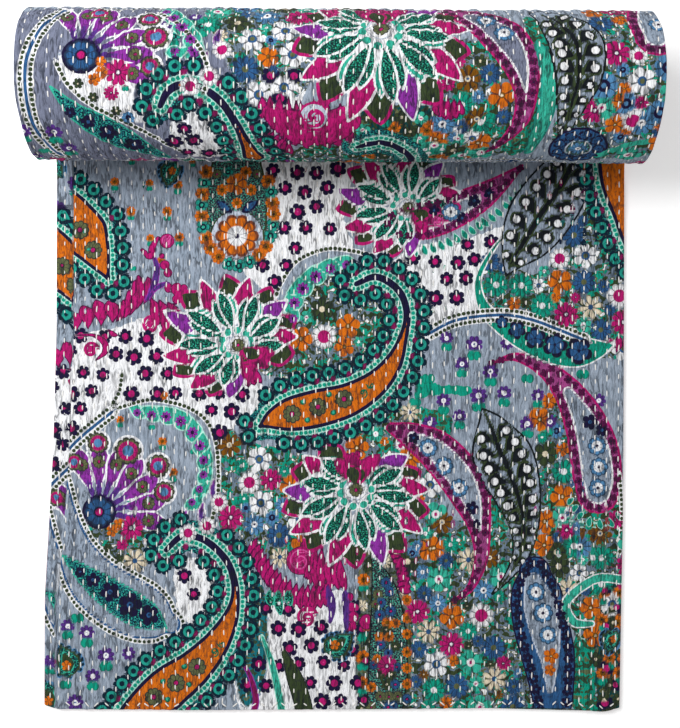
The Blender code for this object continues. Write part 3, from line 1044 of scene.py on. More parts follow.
def fan_flower(face, centre, radius, first, last, caps):
    """A fan of purple petals from a blue rosette, a rosette on each petal, and scalloped caps
    round the rim."""
    u, v = face.at([centre])[0]
    for cap_u, cap_v, size in caps:
        face.shape(disc(face.at([(cap_u, cap_v)])[0], size + 2.0), "white", "white", 0.0)
        face.bloom((cap_u, cap_v), size, "cap", turn=cap_u)
    for degrees in np.linspace(first, last, 7):
        a = math.radians(degrees)
        way = np.array([math.cos(a), -math.sin(a)])
        root, tip = way * 8 + (u, v), way * radius + (u, v)
        face.shape(leaf(root, tip, radius * 0.29, 0, 0.72), "purple", "white", 1.5)
        shade = leaf(root + way * 5, root + (tip - root) * 0.42, radius * 0.08, 0, 0.5)
        face.shape(shade, "violet", "violet", 0)
        spot = root + (tip - root) * 0.68
        face.blooms.append((*spot, radius * 0.098, degrees, "rosette", True))
    face.shape(disc((u, v), 17.2), "navy", "navy", 0.0)
    face.bloom(centre, 15.0, "blue_rosette")


def bead_arc(face, points):
    """A string of dark beads on a white band."""
    face.line(points, 2.7, BEAD_PITCH, "white", "olive")


def twin_bead_arc(face, points):
    """Two strings of dark beads on a white band, with a blue stripe between."""
    face.line(points, TWIN_OFF + 2.6, BEAD_PITCH, "white", "olive")
    face.twins.add(len(face.lines) - 1)


def garland(face, points, size=9.0):
    """A row of teal pods, each with a purple flower, overlapped along a line."""
    line = smooth_line(face.at(points))[:, :2]
    along = lengths_along(line)
    side = normals(line)
    for step in np.arange(2.0, along[-1] - 2, size * 1.62):
        i = min(int(np.searchsorted(along, step)), len(line) - 2)
        run = line[i + 1] - line[i]
        run /= np.linalg.norm(run)
        thin = 0.72 + 0.28 * math.sin(math.pi * min(1.0, 1.25 * step / along[-1]))
        back = line[i] - run * size * 1.5 - side[i] * size * 0.9 * thin
        front = line[i] + run * size * 0.95 + side[i] * size * 0.75 * thin
        face.shape(leaf(back, front, size * 2.1 * thin, -2, 0.64), "sea", "mint", 1.2)
        face.blooms.append((*(line[i] + side[i]), size * 0.62 * thin, 40 * step, "purple_bloom", True))


def comb(face, roots, tips, width=9.0, bow=2.0, ink="magenta", rim="plum"):
    """A feathery row of strokes, each a leaf from a line of roots to a line of tips. Both lines
    go through places of the photo."""
    start, end = smooth_line(face.at(roots)), smooth_line(face.at(tips))
    strokes = max(lengths_along(start)[-1], lengths_along(end)[-1]) / (0.62 * width)
    for share in np.linspace(0, 1, max(2, round(strokes))):
        root = start[round(share * (len(start) - 1))]
        tip = end[round(share * (len(end) - 1))]
        face.shape(leaf(root, tip, width, bow, 0.62), ink, rim, 1.0)


def balls(face, places, ink="magenta", rim="plum"):
    """Round ends of a plume: places are (U, V, radius) in the photo."""
    for u, v, radius in places:
        face.shape(disc(face.at([(u, v)])[0], radius), ink, rim, 0.8)


def plume(face, spines, ink="magenta", rim="plum"):
    """A plume's stems and broad strokes, in one ink."""
    for spine in spines:
        face.shape(ribbon(face.at(spine)), ink, rim, 0.9)


def spiral(face, centre, radius, turns=1.9, ink="pink", start=0.0, half=1.1):
    """A thin curl: the radius grows evenly with the angle."""
    u, v = face.at([centre])[0]
    t = np.linspace(0.1, 1, 34)
    turn = start + t * turns * math.tau
    line = np.stack([u + radius * t * np.cos(turn), v + radius * t * np.sin(turn)], 1)
    face.lines.append((line, False, half, 0, ink, ink))


def thin_curl(face, centre, radius):
    """A pink curl on a plume's round end."""
    spiral(face, centre, radius, half=0.7)


def curl_on_white(face, centre, radius):
    """A magenta curl on a round white ground."""
    u, v = centre
    face.zone([(u + radius, v), (u, v + radius), (u - radius, v), (u, v - radius)], "white")
    spiral(face, centre, radius, ink="magenta", half=1.5)


def curl_on_disc(face, centre, radius):
    """A magenta curl on a pale disc with a magenta rim."""
    face.shape(disc(face.at([centre])[0], radius), "pale_grey", "magenta", 2.4)
    spiral(face, centre, radius - 3, turns=1.5, ink="magenta", half=1.8)


def green_leaf(face, root, reach):
    """A small green leaf with a white dot on it."""
    u, v = root
    face.shape(leaf(root, (u + 3, v + reach), 9, 1), "green", "sea", 1.0)
    face.bloom((u + 1, v + 13), 2, "white_dot")


def comma(face, centre, lean=0.0):
    """A magenta drop with a purple tail, in a white scalloped border."""
    u, v = face.at([centre])[0]
    face.blooms = [b for b in face.blooms if math.hypot(b[0] - u, b[1] - v) > 0.85 * b[2] + 7]
    tail = np.array([(u - 1 + lean, v - 22, 0.8), (u - 4 + lean / 2, v - 12, 2.6), (u - 2, v - 4, 3.4)])
    face.shape(ribbon(tail, 1.5), "white", "white", 0.0)
    face.shape(ribbon(tail), "violet", "purple", 0.9)
    face.blooms.append((u + 1, v, 9.0, 0.0, "white_scallop", True))


def scroll(face, centre):
    """Two small green curls, as in a hooked paisley."""
    u, v = centre
    spiral(face, (u - 3, v + 3), 5.0, 1.2, "green", 0.0, 0.7)
    spiral(face, (u + 5, v - 5), 4.0, 1.1, "green", 2.4, 0.7)


def small_paisley(face, centre, size=17, turn=0.0):
    """A small dark paisley: an olive drop with an orange heart and a fringe of leaves."""
    u, v = face.at([centre])[0]
    a = math.radians(turn)
    ahead = np.array([math.sin(a), -math.cos(a)])
    root, tip = np.array([u, v]) - ahead * size * 0.7, np.array([u, v]) + ahead * size
    for at in leaf(root, tip, size * 1.4, size * 0.16, 0.36)[::3]:
        face.shape(disc(at, 3.4), "petrol", "sky", 0.8)
    face.shape(leaf(root, tip, size * 1.25, size * 0.16, 0.36), "dark_teal", "olive", 2.0)
    heart = leaf(root + ahead * 4, tip - ahead * 6, size * 0.72, size * 0.1, 0.36)
    face.shape(heart, "olive", "sea", 1.0)
    face.blooms.append((*(root + ahead * size * 0.62), size * 0.27, turn, "orange_bloom", True))


def scattered(face, outline, spacing, radius, kinds, seed, jitter=0.15, over=False):
    """Flowers over a patch, on a jittered lattice of triangles."""
    chance = np.random.default_rng(seed)
    line = smooth_line(face.at(outline), closed=True, step=4)
    low, high = line.min(0), line.max(0)
    rows = np.arange(low[1], high[1], spacing * 0.87)
    for number, v in enumerate(rows):
        for u in np.arange(low[0] + (number % 2) * spacing / 2, high[0], spacing):
            a = u + chance.normal(0, jitter) * spacing * 0.5
            b = v + chance.normal(0, jitter) * spacing * 0.5
            kind = kinds[chance.integers(len(kinds))]
            turn = chance.uniform(0, 360)
            size = radius * chance.uniform(0.86, 1.1)
            if not inside(line, np.array([a]), np.array([b]))[0]:
                continue
            face.blooms.append((a, b, size, turn, kind, over))
            if kind.endswith("sprig"):
                face.blooms.append((a, b + size * 1.25, size * 0.8, 0.0, "sprig_leaf", False))


def meadow(face, outline, seed, sizes=(4.8, 12.6)):
    """A patch of mixed flowers, thrown at random so that they just touch: the big ones first."""
    chance = np.random.default_rng(seed)
    line = smooth_line(face.at(outline), closed=True, step=4)
    low, high = line.min(0), line.max(0)
    tries = int(0.22 * np.prod(high - low))
    spots = chance.uniform(low, high, (tries, 2))
    radii = np.sort(sizes[0] + (sizes[1] - sizes[0]) * chance.uniform(0, 1, tries))[::-1]
    within = inside(line, spots[:, 0], spots[:, 1])
    kept = np.zeros((0, 3))
    for (u, v), radius, ok in zip(spots, radii, within):
        if not ok:
            continue
        apart = np.hypot(kept[:, 0] - u, kept[:, 1] - v) - kept[:, 2] - radius
        if len(kept) and apart.min() < -2.2:
            continue
        kept = np.vstack([kept, (u, v, radius)])
        kind = MEADOW[chance.integers(len(MEADOW))]
        face.blooms.append((u, v, radius, chance.uniform(0, 360), kind, False))


def clear_ground(face):
    """Leaves out the ground flowers whose middles other motifs or lines cover, so that a shape
    hides no more than a part of any that is left, and none lies under a flower over the shapes."""
    over = np.array([b[:3] for b in face.blooms if b[5]]).reshape(-1, 3)
    kept = [b for b in face.blooms if b[5]]
    ground = [b for b in face.blooms if not b[5]]
    if ground:
        spots = np.array([b[:3] for b in ground])
        covered = np.zeros(len(spots), bool)
        for outline, *_ in face.shapes:
            at = box_of(outline, spots[:, 0], spots[:, 1], 0)
            if len(at):
                deep = depth_in(outline, spots[at, 0], spots[at, 1])
                covered[at] |= deep > 0.15 * spots[at, 2]
        for line, closed, half, *_ in face.lines:
            at = box_of(line, spots[:, 0], spots[:, 1], half + 3)
            if len(at):
                gap, _, _ = nearest_on(line, spots[at, 0], spots[at, 1], closed)
                covered[at] |= gap < half + 0.25 * spots[at, 2]
        gap = np.hypot(spots[:, None, 0] - over[None, :, 0], spots[:, None, 1] - over[None, :, 1])
        reach = (gap - over[None, :, 2] - 0.45 * spots[:, None, 2]).min(1) if len(over) else 9
        kept += [b for b, hidden, far in zip(ground, covered, reach) if not hidden and far > 0]
    face.blooms = kept


def draw(face, table):
    """Draws the motifs of a table in its order. A row is a motif's function and what it is given."""
    for motif, *given in table:
        motif(face, *given)


# Where the motifs of the flat stretch lie, in pixels of the photo. A ground's row is an outline.
# A spine's points are (U, V, half width), and a round thing's are (U, V, radius).

FLAT_WHITE = (
    [(262, 160), (300, 155), (350, 165), (345, 215), (352, 249), (326, 247), (297, 259), (281, 281),
     (272, 300), (258, 285), (242, 270), (250, 262), (268, 225)],
    [(56, 350), (75, 336), (120, 326), (150, 318), (190, 330), (225, 345), (262, 385), (262, 410),
     (232, 428), (218, 445), (206, 420), (189, 408), (169, 402), (147, 400), (115, 411), (94, 426),
     (70, 448), (50, 474)],
    [(392, 262), (420, 246), (470, 238), (512, 224), (492, 252), (480, 282), (484, 308), (457, 318),
     (430, 330), (420, 300), (408, 275)],
    [(262, 605), (310, 606), (340, 590), (362, 622), (372, 712), (250, 716), (240, 660)],
    [(176, 566), (205, 560), (214, 590), (205, 622), (180, 616)],
    [(596, 590), (626, 585), (626, 712), (600, 712)],
)
FLAT_PATCHES = (
    (Print.zone, [(384, 412), (425, 408), (452, 420), (440, 452), (396, 462)], "teal", 0.3),
    (Print.zone, [(420, 376), (436, 384), (470, 388), (466, 396), (436, 394), (416, 398)], "teal"),
    (Print.zone, [(232, 590), (262, 585), (268, 640), (262, 690), (240, 700)], "lagoon", 0.3),
    (Print.zone, [(575, 636), (600, 640), (597, 712), (570, 700)], "teal", 0.3),
    (Print.zone, [(490, 498), (502, 505), (509, 545), (506, 580), (484, 604), (478, 596), (492, 560),
                  (492, 520)], "teal", 0.3),
    (Print.zone, [(560, 400), (578, 420), (574, 470), (584, 510), (570, 520), (548, 500),
                  (544, 440)], "teal", 0.3),
)
FLAT_MEADOWS = (
    [(482, 262), (510, 268), (548, 268), (600, 190), (626, 240), (626, 352), (560, 345), (500, 322),
     (482, 300)],
    [(296, 290), (352, 268), (384, 300), (384, 342), (330, 380), (262, 372), (262, 330)],
    [(222, 432), (262, 446), (300, 452), (312, 540), (262, 558), (226, 540), (216, 490)],
    [(545, 400), (572, 420), (584, 470), (600, 520), (560, 560), (540, 520), (538, 450)],
    [(396, 540), (440, 520), (500, 530), (545, 545), (520, 640), (540, 712), (396, 712)],
    [(74, 512), (110, 524), (150, 522), (150, 560), (128, 572), (86, 548)],
    [(355, 420), (420, 420), (440, 540), (400, 560), (372, 500)],
    [(560, 520), (626, 500), (626, 600), (588, 640), (560, 600)],
)
TALL_FIELD = [(362, 560), (404, 556), (408, 712), (360, 712)]
RIGHT_FIELD = [(600, 600), (626, 592), (626, 712), (598, 712)]
FLAT_FIELDS = (
    (Print.zone, TALL_FIELD, "slate", 0.6),
    (Print.zone, RIGHT_FIELD, "dark_teal", 0.6),
)
FLAT_SPRIGS = (
    (scattered, [(60, 168), (262, 168), (250, 262), (180, 262), (60, 262)], 31, 4.8, ("orange_sprig",), 71),
    (scattered, [(110, 405), (192, 402), (196, 480), (150, 520), (118, 470)], 29, 4.8,
     ("orange_sprig",), 72),
    (scattered, [(430, 322), (560, 326), (600, 400), (470, 440), (400, 400)], 31, 8.2,
     ("purple_sprig",), 73),
    (scattered, [(46, 590), (90, 606), (150, 650), (150, 712), (46, 712)], 27, 8.2, ("purple_sprig",), 74),
    (scattered, TALL_FIELD, 15, 7.2, ("orange_sprig", "olive_bloom", "cream_daisy"), 75),
    (scattered, RIGHT_FIELD, 15, 7.2, ("orange_sprig", "olive_bloom"), 76),
)
FLAT_STRINGS = (
    (twin_bead_arc, [(50, 476), (64, 455), (80, 438), (98, 423), (112, 412)]),
    (bead_arc, [(118, 408), (147, 400), (169, 402), (189, 408), (206, 420), (215, 439), (218, 460),
                (218, 493), (212, 520)]),
    (bead_arc, [(112, 404), (119, 392), (122, 374)]),
    (bead_arc, [(276, 296), (281, 283), (297, 261), (326, 249), (353, 251), (372, 256)]),
    (twin_bead_arc, [(428, 334), (457, 320), (500, 315), (529, 319), (557, 329), (584, 340)]),
    (Print.line, [(620, 474), (622, 512), (620, 553)], 2.4, BEAD_PITCH, "white", "olive"),
    (garland, [(292, 322), (293, 304), (302, 288), (318, 274), (338, 265), (358, 263)], 10.5),
    (garland, [(134, 411), (150, 414), (168, 416), (184, 422), (196, 436), (203, 452), (205, 470),
               (201, 488), (192, 504)], 9.5),
    (fringe, [(404, 246), (434, 240), (464, 226), (494, 206), (520, 182)], 12),
)
FLAT_PLUMES = (
    (comb, [(76, 332), (96, 329), (112, 324)], [(70, 312), (92, 300), (108, 300)], 16, 3),
    (comb, [(114, 323), (128, 318), (142, 306)], [(124, 299), (138, 274), (148, 276)], 12, 5),
    (comb, [(149, 296), (158, 297), (166, 300)], [(158, 326), (168, 334), (178, 328)], 15, -3),
    (plume, [[(147, 300, 2), (154, 286, 3.6), (157, 268, 3), (153, 254, 1.6)],
             [(152, 292, 1.4), (160, 286, 2.6), (168, 283, 2.0)]], "violet", "purple"),
    (plume, [[(142, 250, 2), (150, 256, 4), (153, 246, 3.4), (158, 238, 2)]]),
    (balls, [(167, 241, 7.6), (165, 265, 5), (168, 273, 4.6), (162, 256, 3), (169, 288, 5), (177, 289, 6.4),
             (184, 288, 4), (177, 299, 5)]),
    (comb, [(258, 536), (270, 556), (284, 572), (304, 582), (326, 576)],
     [(250, 558), (262, 580), (282, 602), (306, 611), (327, 608)], 10, 1),
    (comb, [(302, 538), (318, 540), (330, 546), (340, 554)],
     [(306, 580), (318, 590), (332, 590), (346, 592)], 10),
    (balls, [(300, 561, 14), (349, 597, 5), (351, 607, 5), (353, 617, 6), (352, 627, 5), (367, 622, 8)]),
    (plume, [[(328, 588, 2), (331, 600, 4.4), (332, 612, 3.4), (330, 622, 2)],
             [(345, 594, 3), (346, 612, 3.4), (346, 628, 2)]], "violet", "violet"),
    (green_leaf, (269, 590), 17),
    (green_leaf, (278, 590), 26),
    (green_leaf, (288, 590), 16),
    (comb, [(236, 366), (244, 360), (252, 362)], [(232, 378), (246, 388), (262, 384)]),
    (comb, [(344, 470), (350, 464), (356, 458)], [(328, 466), (338, 456), (358, 450)]),
    (comb, [(414, 232), (426, 232), (440, 230)], [(410, 216), (424, 212), (444, 212)]),
    (comb, [(388, 552), (394, 566), (396, 584)], [(404, 560), (410, 574), (412, 592)], 8),
    (comb, [(600, 352), (612, 354), (624, 354)], [(604, 340), (614, 336), (626, 334)]),
    (plume, [[(75, 336, 1.2), (92, 335, 1.8), (104, 342, 3.4), (105, 352, 3), (96, 360, 1)],
             [(108, 330, 1), (113, 334, 3), (118, 336, 1)]]),
    (thin_curl, (300, 561), 12),
    (thin_curl, (439, 221), 8),
    (thin_curl, (167, 241), 6),
    (curl_on_white, (307, 618), 11),
    (curl_on_white, (151, 325), 9.5),
    (curl_on_white, (91, 350), 7.5),
    (plume, [[(262, 636, 2), (272, 664, 3.6), (280, 700, 4), (282, 716, 4)]], "sea", "mint"),
    (plume, [[(284, 652, 3), (294, 676, 8), (302, 700, 9), (305, 718, 9)]], "olive", "black"),
    (plume, [[(240, 660, 1.4), (250, 676, 2.6), (256, 700, 3.4), (252, 716, 3)]], "wine", "purple"),
    (small_paisley, (172, 172), 15, 200),
    (small_paisley, (66, 664), 19, -15),
    (small_paisley, (336, 644), 19, 60),
    (small_paisley, (613, 640), 14, 200),
)
TALL_LEAF = [(373, 556, 2), (384, 590, 13), (388, 630, 18), (388, 670, 20), (384, 716, 18)]
TALL_LEAF_FLOWERS = (
    (scattered, [(378, 576), (392, 584), (402, 640), (402, 708), (368, 708), (372, 640)], 12, 5.6,
     ("orange_sprig", "blue_rosette", "rosette", "olive_bloom"), 91, 0.3, True),
    (flowers, "magenta_daisy", [(387, 666, 11)]),
    (flowers, "olive_bloom", [(386, 630, 6)]),
    (flowers, "orange_sprig", [(407, v, 5.4) for v in (600, 618, 634, 652, 668, 684)]),
    (flowers, "blue_rosette", [(407, 699, 5.4)]),
)
ORNAMENT_ROUND = [(206, 172), (202, 200), (203, 226), (212, 250), (236, 266), (262, 252), (273, 226),
                  (272, 198), (266, 172)]
ORNAMENT_BODY = [(236, 150, 22), (237, 190, 30), (237, 228, 30)]
ORNAMENT_DISC = (237, 237)
ORNAMENT_LEAVES = (((232, 213), (216, 200)), ((242, 213), (258, 200)))
ORNAMENT_FLOWERS = (
    (flowers, "medallion", [(237, 236, 22.0)]),
    (flowers, "orange_bloom", [(236, 184, 11)]),
    (flowers, "orange_sprig", [(222, 190, 6), (251, 190, 6), (246, 172, 6), (237, 203, 5.5)]),
    (flowers, "teal_sprig", [(228, 172, 6)]),
    (flowers, "rosette", [(217, 174, 5), (257, 174, 5)]),
)
FLAT_PAISLEYS = (
    (hooked_paisley, [(64, 186, 2), (73, 206, 13), (84, 232, 22), (96, 254, 14), (108, 278, 1)],
     [(80, 230), (93, 250)]),
    (hooked_paisley, [(618, 140, 19), (624, 176, 23), (634, 206, 22), (648, 236, 24), (660, 262, 20)], []),
    (hooked_paisley,
     [(121, 742, 18), (143, 712, 19), (167, 689, 20.5), (194, 668, 17), (215, 645, 12.5), (229, 621, 7.5),
      (235, 600, 3.4), (234, 580, 2.0), (226, 560, 2.0), (206, 541, 1.9), (183, 536, 1.6), (166, 550, 0.9)],
     [(154, 697), (176, 683), (197, 667)]),
    (scroll, (217, 649)),
    (hooked_paisley,
     [(260, 426, 0.8), (272, 420, 9), (290, 414.5, 15.5), (317, 408.5, 17.5), (348, 400, 15.5),
      (375, 384, 12), (393, 363, 8), (403, 338, 3.4), (407, 314, 2.0), (399, 291, 2.0), (377, 277, 1.8),
      (356, 284, 0.9)],
     [(292, 414), (318, 407), (344, 399)]),
    (scroll, (366, 390)),
    (bordered_paisley, [(398, 224, 16), (418, 221, 20), (446, 214, 18.5), (476, 200, 15), (500, 184, 9),
                        (522, 166, 2)], [(451, 212)]),
    (bordered_paisley, [(392, 428, 6), (412, 436, 14), (436, 450, 20), (458, 474, 22), (472, 500, 19),
                        (480, 530, 11), (481, 560, 7), (470, 588, 4), (452, 602, 1)],
     [(428, 448), (444, 466), (459, 488)]),
    (bordered_paisley, [(492, 363, 1), (516, 357, 4.5), (545, 369, 9), (568, 392, 15), (584, 420, 21),
                        (594, 450, 25), (598, 478, 25), (598, 492, 22)],
     [(597, 446), (599, 467), (598, 488)]),
    (fringe, [(574, 496), (588, 514), (606, 516), (620, 506)], 12),
    (flowers, "night_flower", [(472, 508, 7), (476, 524, 5), (414, 438, 6), (590, 422, 8), (602, 430, 7),
                               (474, 201, 7), (489, 193, 6), (462, 218, 6), (434, 210, 6)]),
)
FLAT_SPRAYS = (
    (leaf_spray, [(512, 226, 1.2), (490, 254, 2.8), (478, 282, 4), (486, 310, 7), (513, 330, 13),
                  (545, 344, 17), (575, 351, 17), (598, 349, 10), (614, 344, 1.5)],
     [(502, 322, 7), (517, 330, 9.5), (535, 338, 11.5), (555, 345, 13), (579, 351, 14)]),
    (beaded_paisley, [(60, 452, 2), (64, 486, 6), (68, 522, 13), (76, 552, 20), (93, 580, 27),
                      (118, 600, 30), (142, 612, 29), (160, 620, 22), (170, 624, 12)]),
    (leaf_spray, [(63, 556, 1.2), (84, 574, 9), (108, 592, 14.5), (132, 608, 16), (150, 618, 13),
                  (166, 628, 1.5)],
     [(80, 572, 5.5), (93, 580, 7.6), (110, 592, 10), (130, 605, 12.4), (149, 615, 10.5)],
     "lagoon", "sea", "night_flower"),
    (pod, [(578, 152, 18), (563, 182, 29), (541, 214, 32), (525, 240, 26), (513, 260, 13), (506, 276, 1)], 7),
    (pod, [(482, 408, 1), (490, 424, 15), (498, 446, 28), (508, 468, 30), (518, 496, 24), (524, 524, 16),
           (522, 550, 10), (510, 574, 5), (492, 594, 1.5)], 10, 0.14, 0.78),
    (blue_drop, [(535, 572, 16), (536, 590, 25), (540, 620, 28), (548, 655, 27), (552, 690, 22),
                 (552, 716, 18)],
     [(533, 582, 9), (540, 606, 16), (546, 636, 14), (550, 664, 8), (550, 690, 3)]),
    (flowers, "star_daisy", [(536, 592, 10), (543, 613, 10.5), (548, 635, 9.5)]),
    (flowers, "orange_bloom", [(551, 656, 8), (550, 670, 6)]),
    (band, [(623, 580, 4.9), (600, 578, 4.9), (580, 588, 4.9), (566, 604, 4.9), (574, 622, 4.9),
            (592, 624, 3.4)], "white", 1.2),
)
FLAT_LOTUSES = (
    (lotus, (238, 345), 62, 30),
    (lotus, (408, 208), 56, 40),
    (lotus, (356, 490), 66, 165),
    (fan_flower, (99, 512), 70, 110, -10,
     [(98, 443, 11), (128, 451, 14), (158, 466, 12), (164, 492, 11), (74, 462, 9)]),
    (flowers, "magenta_daisy", [(131, 528, 12.5), (122, 545, 6)]),
    (flowers, "orange_bloom", [(112, 531, 6), (119, 524, 6)]),
    (flowers, "olive_bloom", [(108, 548, 5), (120, 558, 5)]),
    (comma, (187, 533)),
    (comma, (206, 526), -2),
    (comma, (218, 502), -2),
)


def tall_leaf(face):
    """A tall dark leaf of fine ornament beside the small paisleys."""
    face.shape(ribbon(face.at(TALL_LEAF)), "slate", "black", 1.3)
    draw(face, TALL_LEAF_FLOWERS)


def ornament(face):
    """The ornament above the first lotus: sprigs round a dark body, on which a medallion lies on
    a pale disc, under two blue leaves and small flowers."""
    for place in smooth_line(ORNAMENT_ROUND, step=1.0)[::11]:
        face.bloom(place, 7.4, "teal_sprig" if int(place[1]) % 2 else "orange_sprig")
    face.shape(ribbon(face.at(ORNAMENT_BODY)), "slate", "olive", 2.0)
    face.shape(disc(ORNAMENT_DISC, 27.0), "pale_grey", "olive", 1.2)
    for root, tip in ORNAMENT_LEAVES:
        face.shape(leaf(root, tip, 8, 0), "blue", "navy", 1.4)
    draw(face, ORNAMENT_FLOWERS)


def grounds(face, white, patches, meadows, fields, seed):
    """The white grounds with their navy flowers, the coloured patches and the meadows."""
    for outline in white:
        face.zone(outline, "white")
    draw(face, patches)
    for outline in meadows:
        face.zone(outline, "white", 1.0)
    draw(face, fields)
    for number, outline in enumerate(meadows):
        meadow(face, outline, seed + number)
    for number, outline in enumerate(white):
        scattered(face, outline, 21.5, 8.2, ("navy_flower",), seed + 20 + number)


def flat_print():
    """The motifs of the flat stretch, from the bottom up."""
    face = Print()
    grounds(face, FLAT_WHITE, FLAT_PATCHES, FLAT_MEADOWS, FLAT_FIELDS, 40)
    draw(face, FLAT_SPRIGS)
    draw(face, FLAT_STRINGS)
    draw(face, FLAT_PLUMES)
    tall_leaf(face)
    ornament(face)
    draw(face, FLAT_PAISLEYS)
    draw(face, FLAT_SPRAYS)
    draw(face, FLAT_LOTUSES)
    clear_ground(face)
    return face


# Where the motifs of the roll lie, in pixels of the photo too, carried onto the round

LEFT_GROUND = [(20, 14), (200, 12), (240, 60), (250, 157), (22, 157)]
FAN_GROUND = [(58, 52), (70, 62), (112, 60), (140, 66), (134, 100), (150, 124), (120, 116), (92, 102),
              (70, 84)]
ROLL_WHITE = (
    [(172, 118), (205, 108), (236, 124), (246, 150), (210, 158), (178, 152)],
    [(262, 112), (300, 104), (300, 60), (262, 60)],
    [(330, 40), (350, 98), (392, 108), (432, 96), (440, 40)],
)
ROLL_MEADOWS = (
    [(212, 12), (330, 12), (322, 60), (290, 100), (250, 96), (226, 60)],
    [(436, 50), (470, 40), (520, 60), (526, 110), (500, 156), (440, 157), (430, 100)],
    [(590, 14), (662, 14), (664, 130), (610, 150), (580, 110), (600, 60)],
    [(560, 110), (610, 100), (660, 120), (655, 155), (560, 158)],
    [(430, 110), (480, 120), (480, 157), (430, 157)],
)
UNDER_LOTUS = [(352, 112), (392, 104), (434, 112), (436, 158), (352, 158)]
ROLL_FIELDS = (
    (Print.zone, UNDER_LOTUS, "dark_teal", 0.5),
    (Print.zone, [(524, 20), (548, 30), (552, 80), (546, 120), (520, 155), (500, 150), (522, 110),
                  (532, 70)], "teal", 0.3),
)
ROLL_SPRIGS = (
    (scattered, UNDER_LOTUS, 15, 7.0, ("orange_sprig", "olive_bloom", "teal_bloom"), 171),
    (scattered, [(110, 60), (180, 60), (170, 110), (120, 110)], 28, 4.8, ("orange_sprig",), 172),
    (scattered, [(18, 110), (60, 125), (70, 157), (22, 157)], 26, 8.0, ("purple_sprig",), 173),
    (scattered, [(150, 14), (196, 14), (206, 56), (176, 62), (160, 40)], 17, 7.0,
     ("purple_sprig", "teal_sprig"), 174),
    (flowers, "magenta_daisy", [(118, 72, 12.5), (111, 93, 7)]),
    (flowers, "orange_bloom", [(94, 79, 6), (102, 72, 6), (101, 61, 5)]),
    (flowers, "olive_bloom", [(78, 83, 5), (93, 97, 5), (116, 111, 5)]),
    (flowers, "blue_round", [(128, 118, 6)]),
)
ROLL_STRINGS = (
    (twin_bead_arc, [(66, 12), (44, 26), (30, 48), (25, 70), (27, 103), (36, 130), (64, 157)]),
    (bead_arc, [(160, 14), (184, 30), (203, 54), (208, 78), (200, 100)]),
    (garland, [(166, 12), (182, 26), (194, 44), (196, 60)], 10),
    (garland, [(196, 52), (180, 50), (172, 54)], 9),
    (Print.line, [(593, 158), (622, 148), (651, 142)], 3.2, 0, "sea", "sea"),
)
ROLL_PLUMES = (
    (comb, [(262, 94), (280, 92), (296, 96)], [(272, 122), (290, 144), (308, 150)], 15, 3),
    (comb, [(300, 98), (318, 96), (340, 100)], [(318, 148), (334, 150), (352, 144)], 15, 3),
    (plume, [[(268, 112, 6), (284, 122, 14), (306, 130, 19), (330, 128, 18), (346, 120, 14)]]),
    (curl_on_disc, (314, 117), 14.5),
    (comb, [(266, 126), (280, 132), (290, 140)], [(262, 140), (276, 150), (292, 156)], 8),
    (comb, [(436, 96), (448, 94), (460, 98)], [(440, 118), (452, 122), (464, 116)], 8),
)
ROLL_PAISLEYS = (
    (hooked_paisley, [(160, 106, 0.9), (168, 91, 1.8), (184, 84, 2.0), (204, 89, 2.0), (222, 103, 2.0),
                      (236, 124, 2.2), (246, 144, 4.0), (254, 158, 9)], []),
    (bordered_paisley, [(440, 12, 8), (470, 18, 16), (500, 34, 21), (520, 62, 17), (526, 92, 11),
                        (522, 118, 8), (508, 138, 5), (486, 154, 1.5)], [(486, 22), (504, 34)], "dusk"),
    (bordered_paisley, [(652, 4, 22), (654, 24, 24), (656, 38, 20)], [(658, 26)]),
    (leaf_spray, [(50, 86, 1.2), (74, 110, 8), (100, 127, 13), (130, 143, 13), (168, 158, 3)],
     [(70, 112, 5.5), (88, 122, 7), (108, 133, 9), (134, 146, 10)], "lagoon", "sea", "night_flower"),
    (bead_arc, [(56, 62), (68, 84), (90, 104), (112, 116), (148, 134), (182, 152)]),
    (band, [(537, 44, 3), (547, 62, 7), (550, 88, 8), (546, 112, 8), (538, 134, 7), (528, 154, 4)],
     "jade", 1.6),
    (pod, [(538, 16, 9), (558, 24, 20), (577, 46, 25), (579, 76, 21), (572, 104, 14), (558, 146, 1)], 9),
    (round_of_flowers, (578, 150), 27),
    (lotus, (381, 30), 70, 165, 1.0),
    (fan_flower, (81, 55), 66, 110, -20, [(156, 37, 13), (150, 20, 11), (100, 14, 11), (150, 66, 10)]),
    (comma, (189, 86)),
    (comma, (208, 76)),
    (comma, (221, 50)),
)
# Which stretches of the flat print the roll's unseen side repeats: from V, to V, and how far
# they are moved along the cloth
BORROWED = ((318, 452, 24), (468, 590, -490))


def roll_place(points):
    """Where the camera's rays through pixels of the photo meet the roll, as print coordinates.
    A ray is k times its floor point sideways at a height of camera (1 - k), and it meets the
    cylinder where (y - centre)^2 + (z - axis)^2 = radius^2, at the lesser k."""
    floor = (points - (MIDDLE_U, MIDDLE_V)) * (PIXEL, -PIXEL)
    centre = ROLL_CENTRE_Y - ROLL_SLANT * floor[:, 0]
    drop = CAMERA_HEIGHT - AXIS_Z
    radius = RADIUS - PITCH / 2
    a = floor[:, 1] ** 2 + CAMERA_HEIGHT**2
    b = -2 * (floor[:, 1] * centre + CAMERA_HEIGHT * drop)
    c = centre**2 + drop**2 - radius**2
    k = (-b - np.sqrt(np.maximum(b * b - 4 * a * c, 0))) / (2 * a)
    y, z = floor[:, 1] * k - centre, CAMERA_HEIGHT * (1 - k) - AXIS_Z
    angle = np.mod(np.arctan2(y, -z), math.tau)
    return np.stack([MIDDLE_U + floor[:, 0] * k * FLAT_SCALE, angle * ROLL_MM], 1)


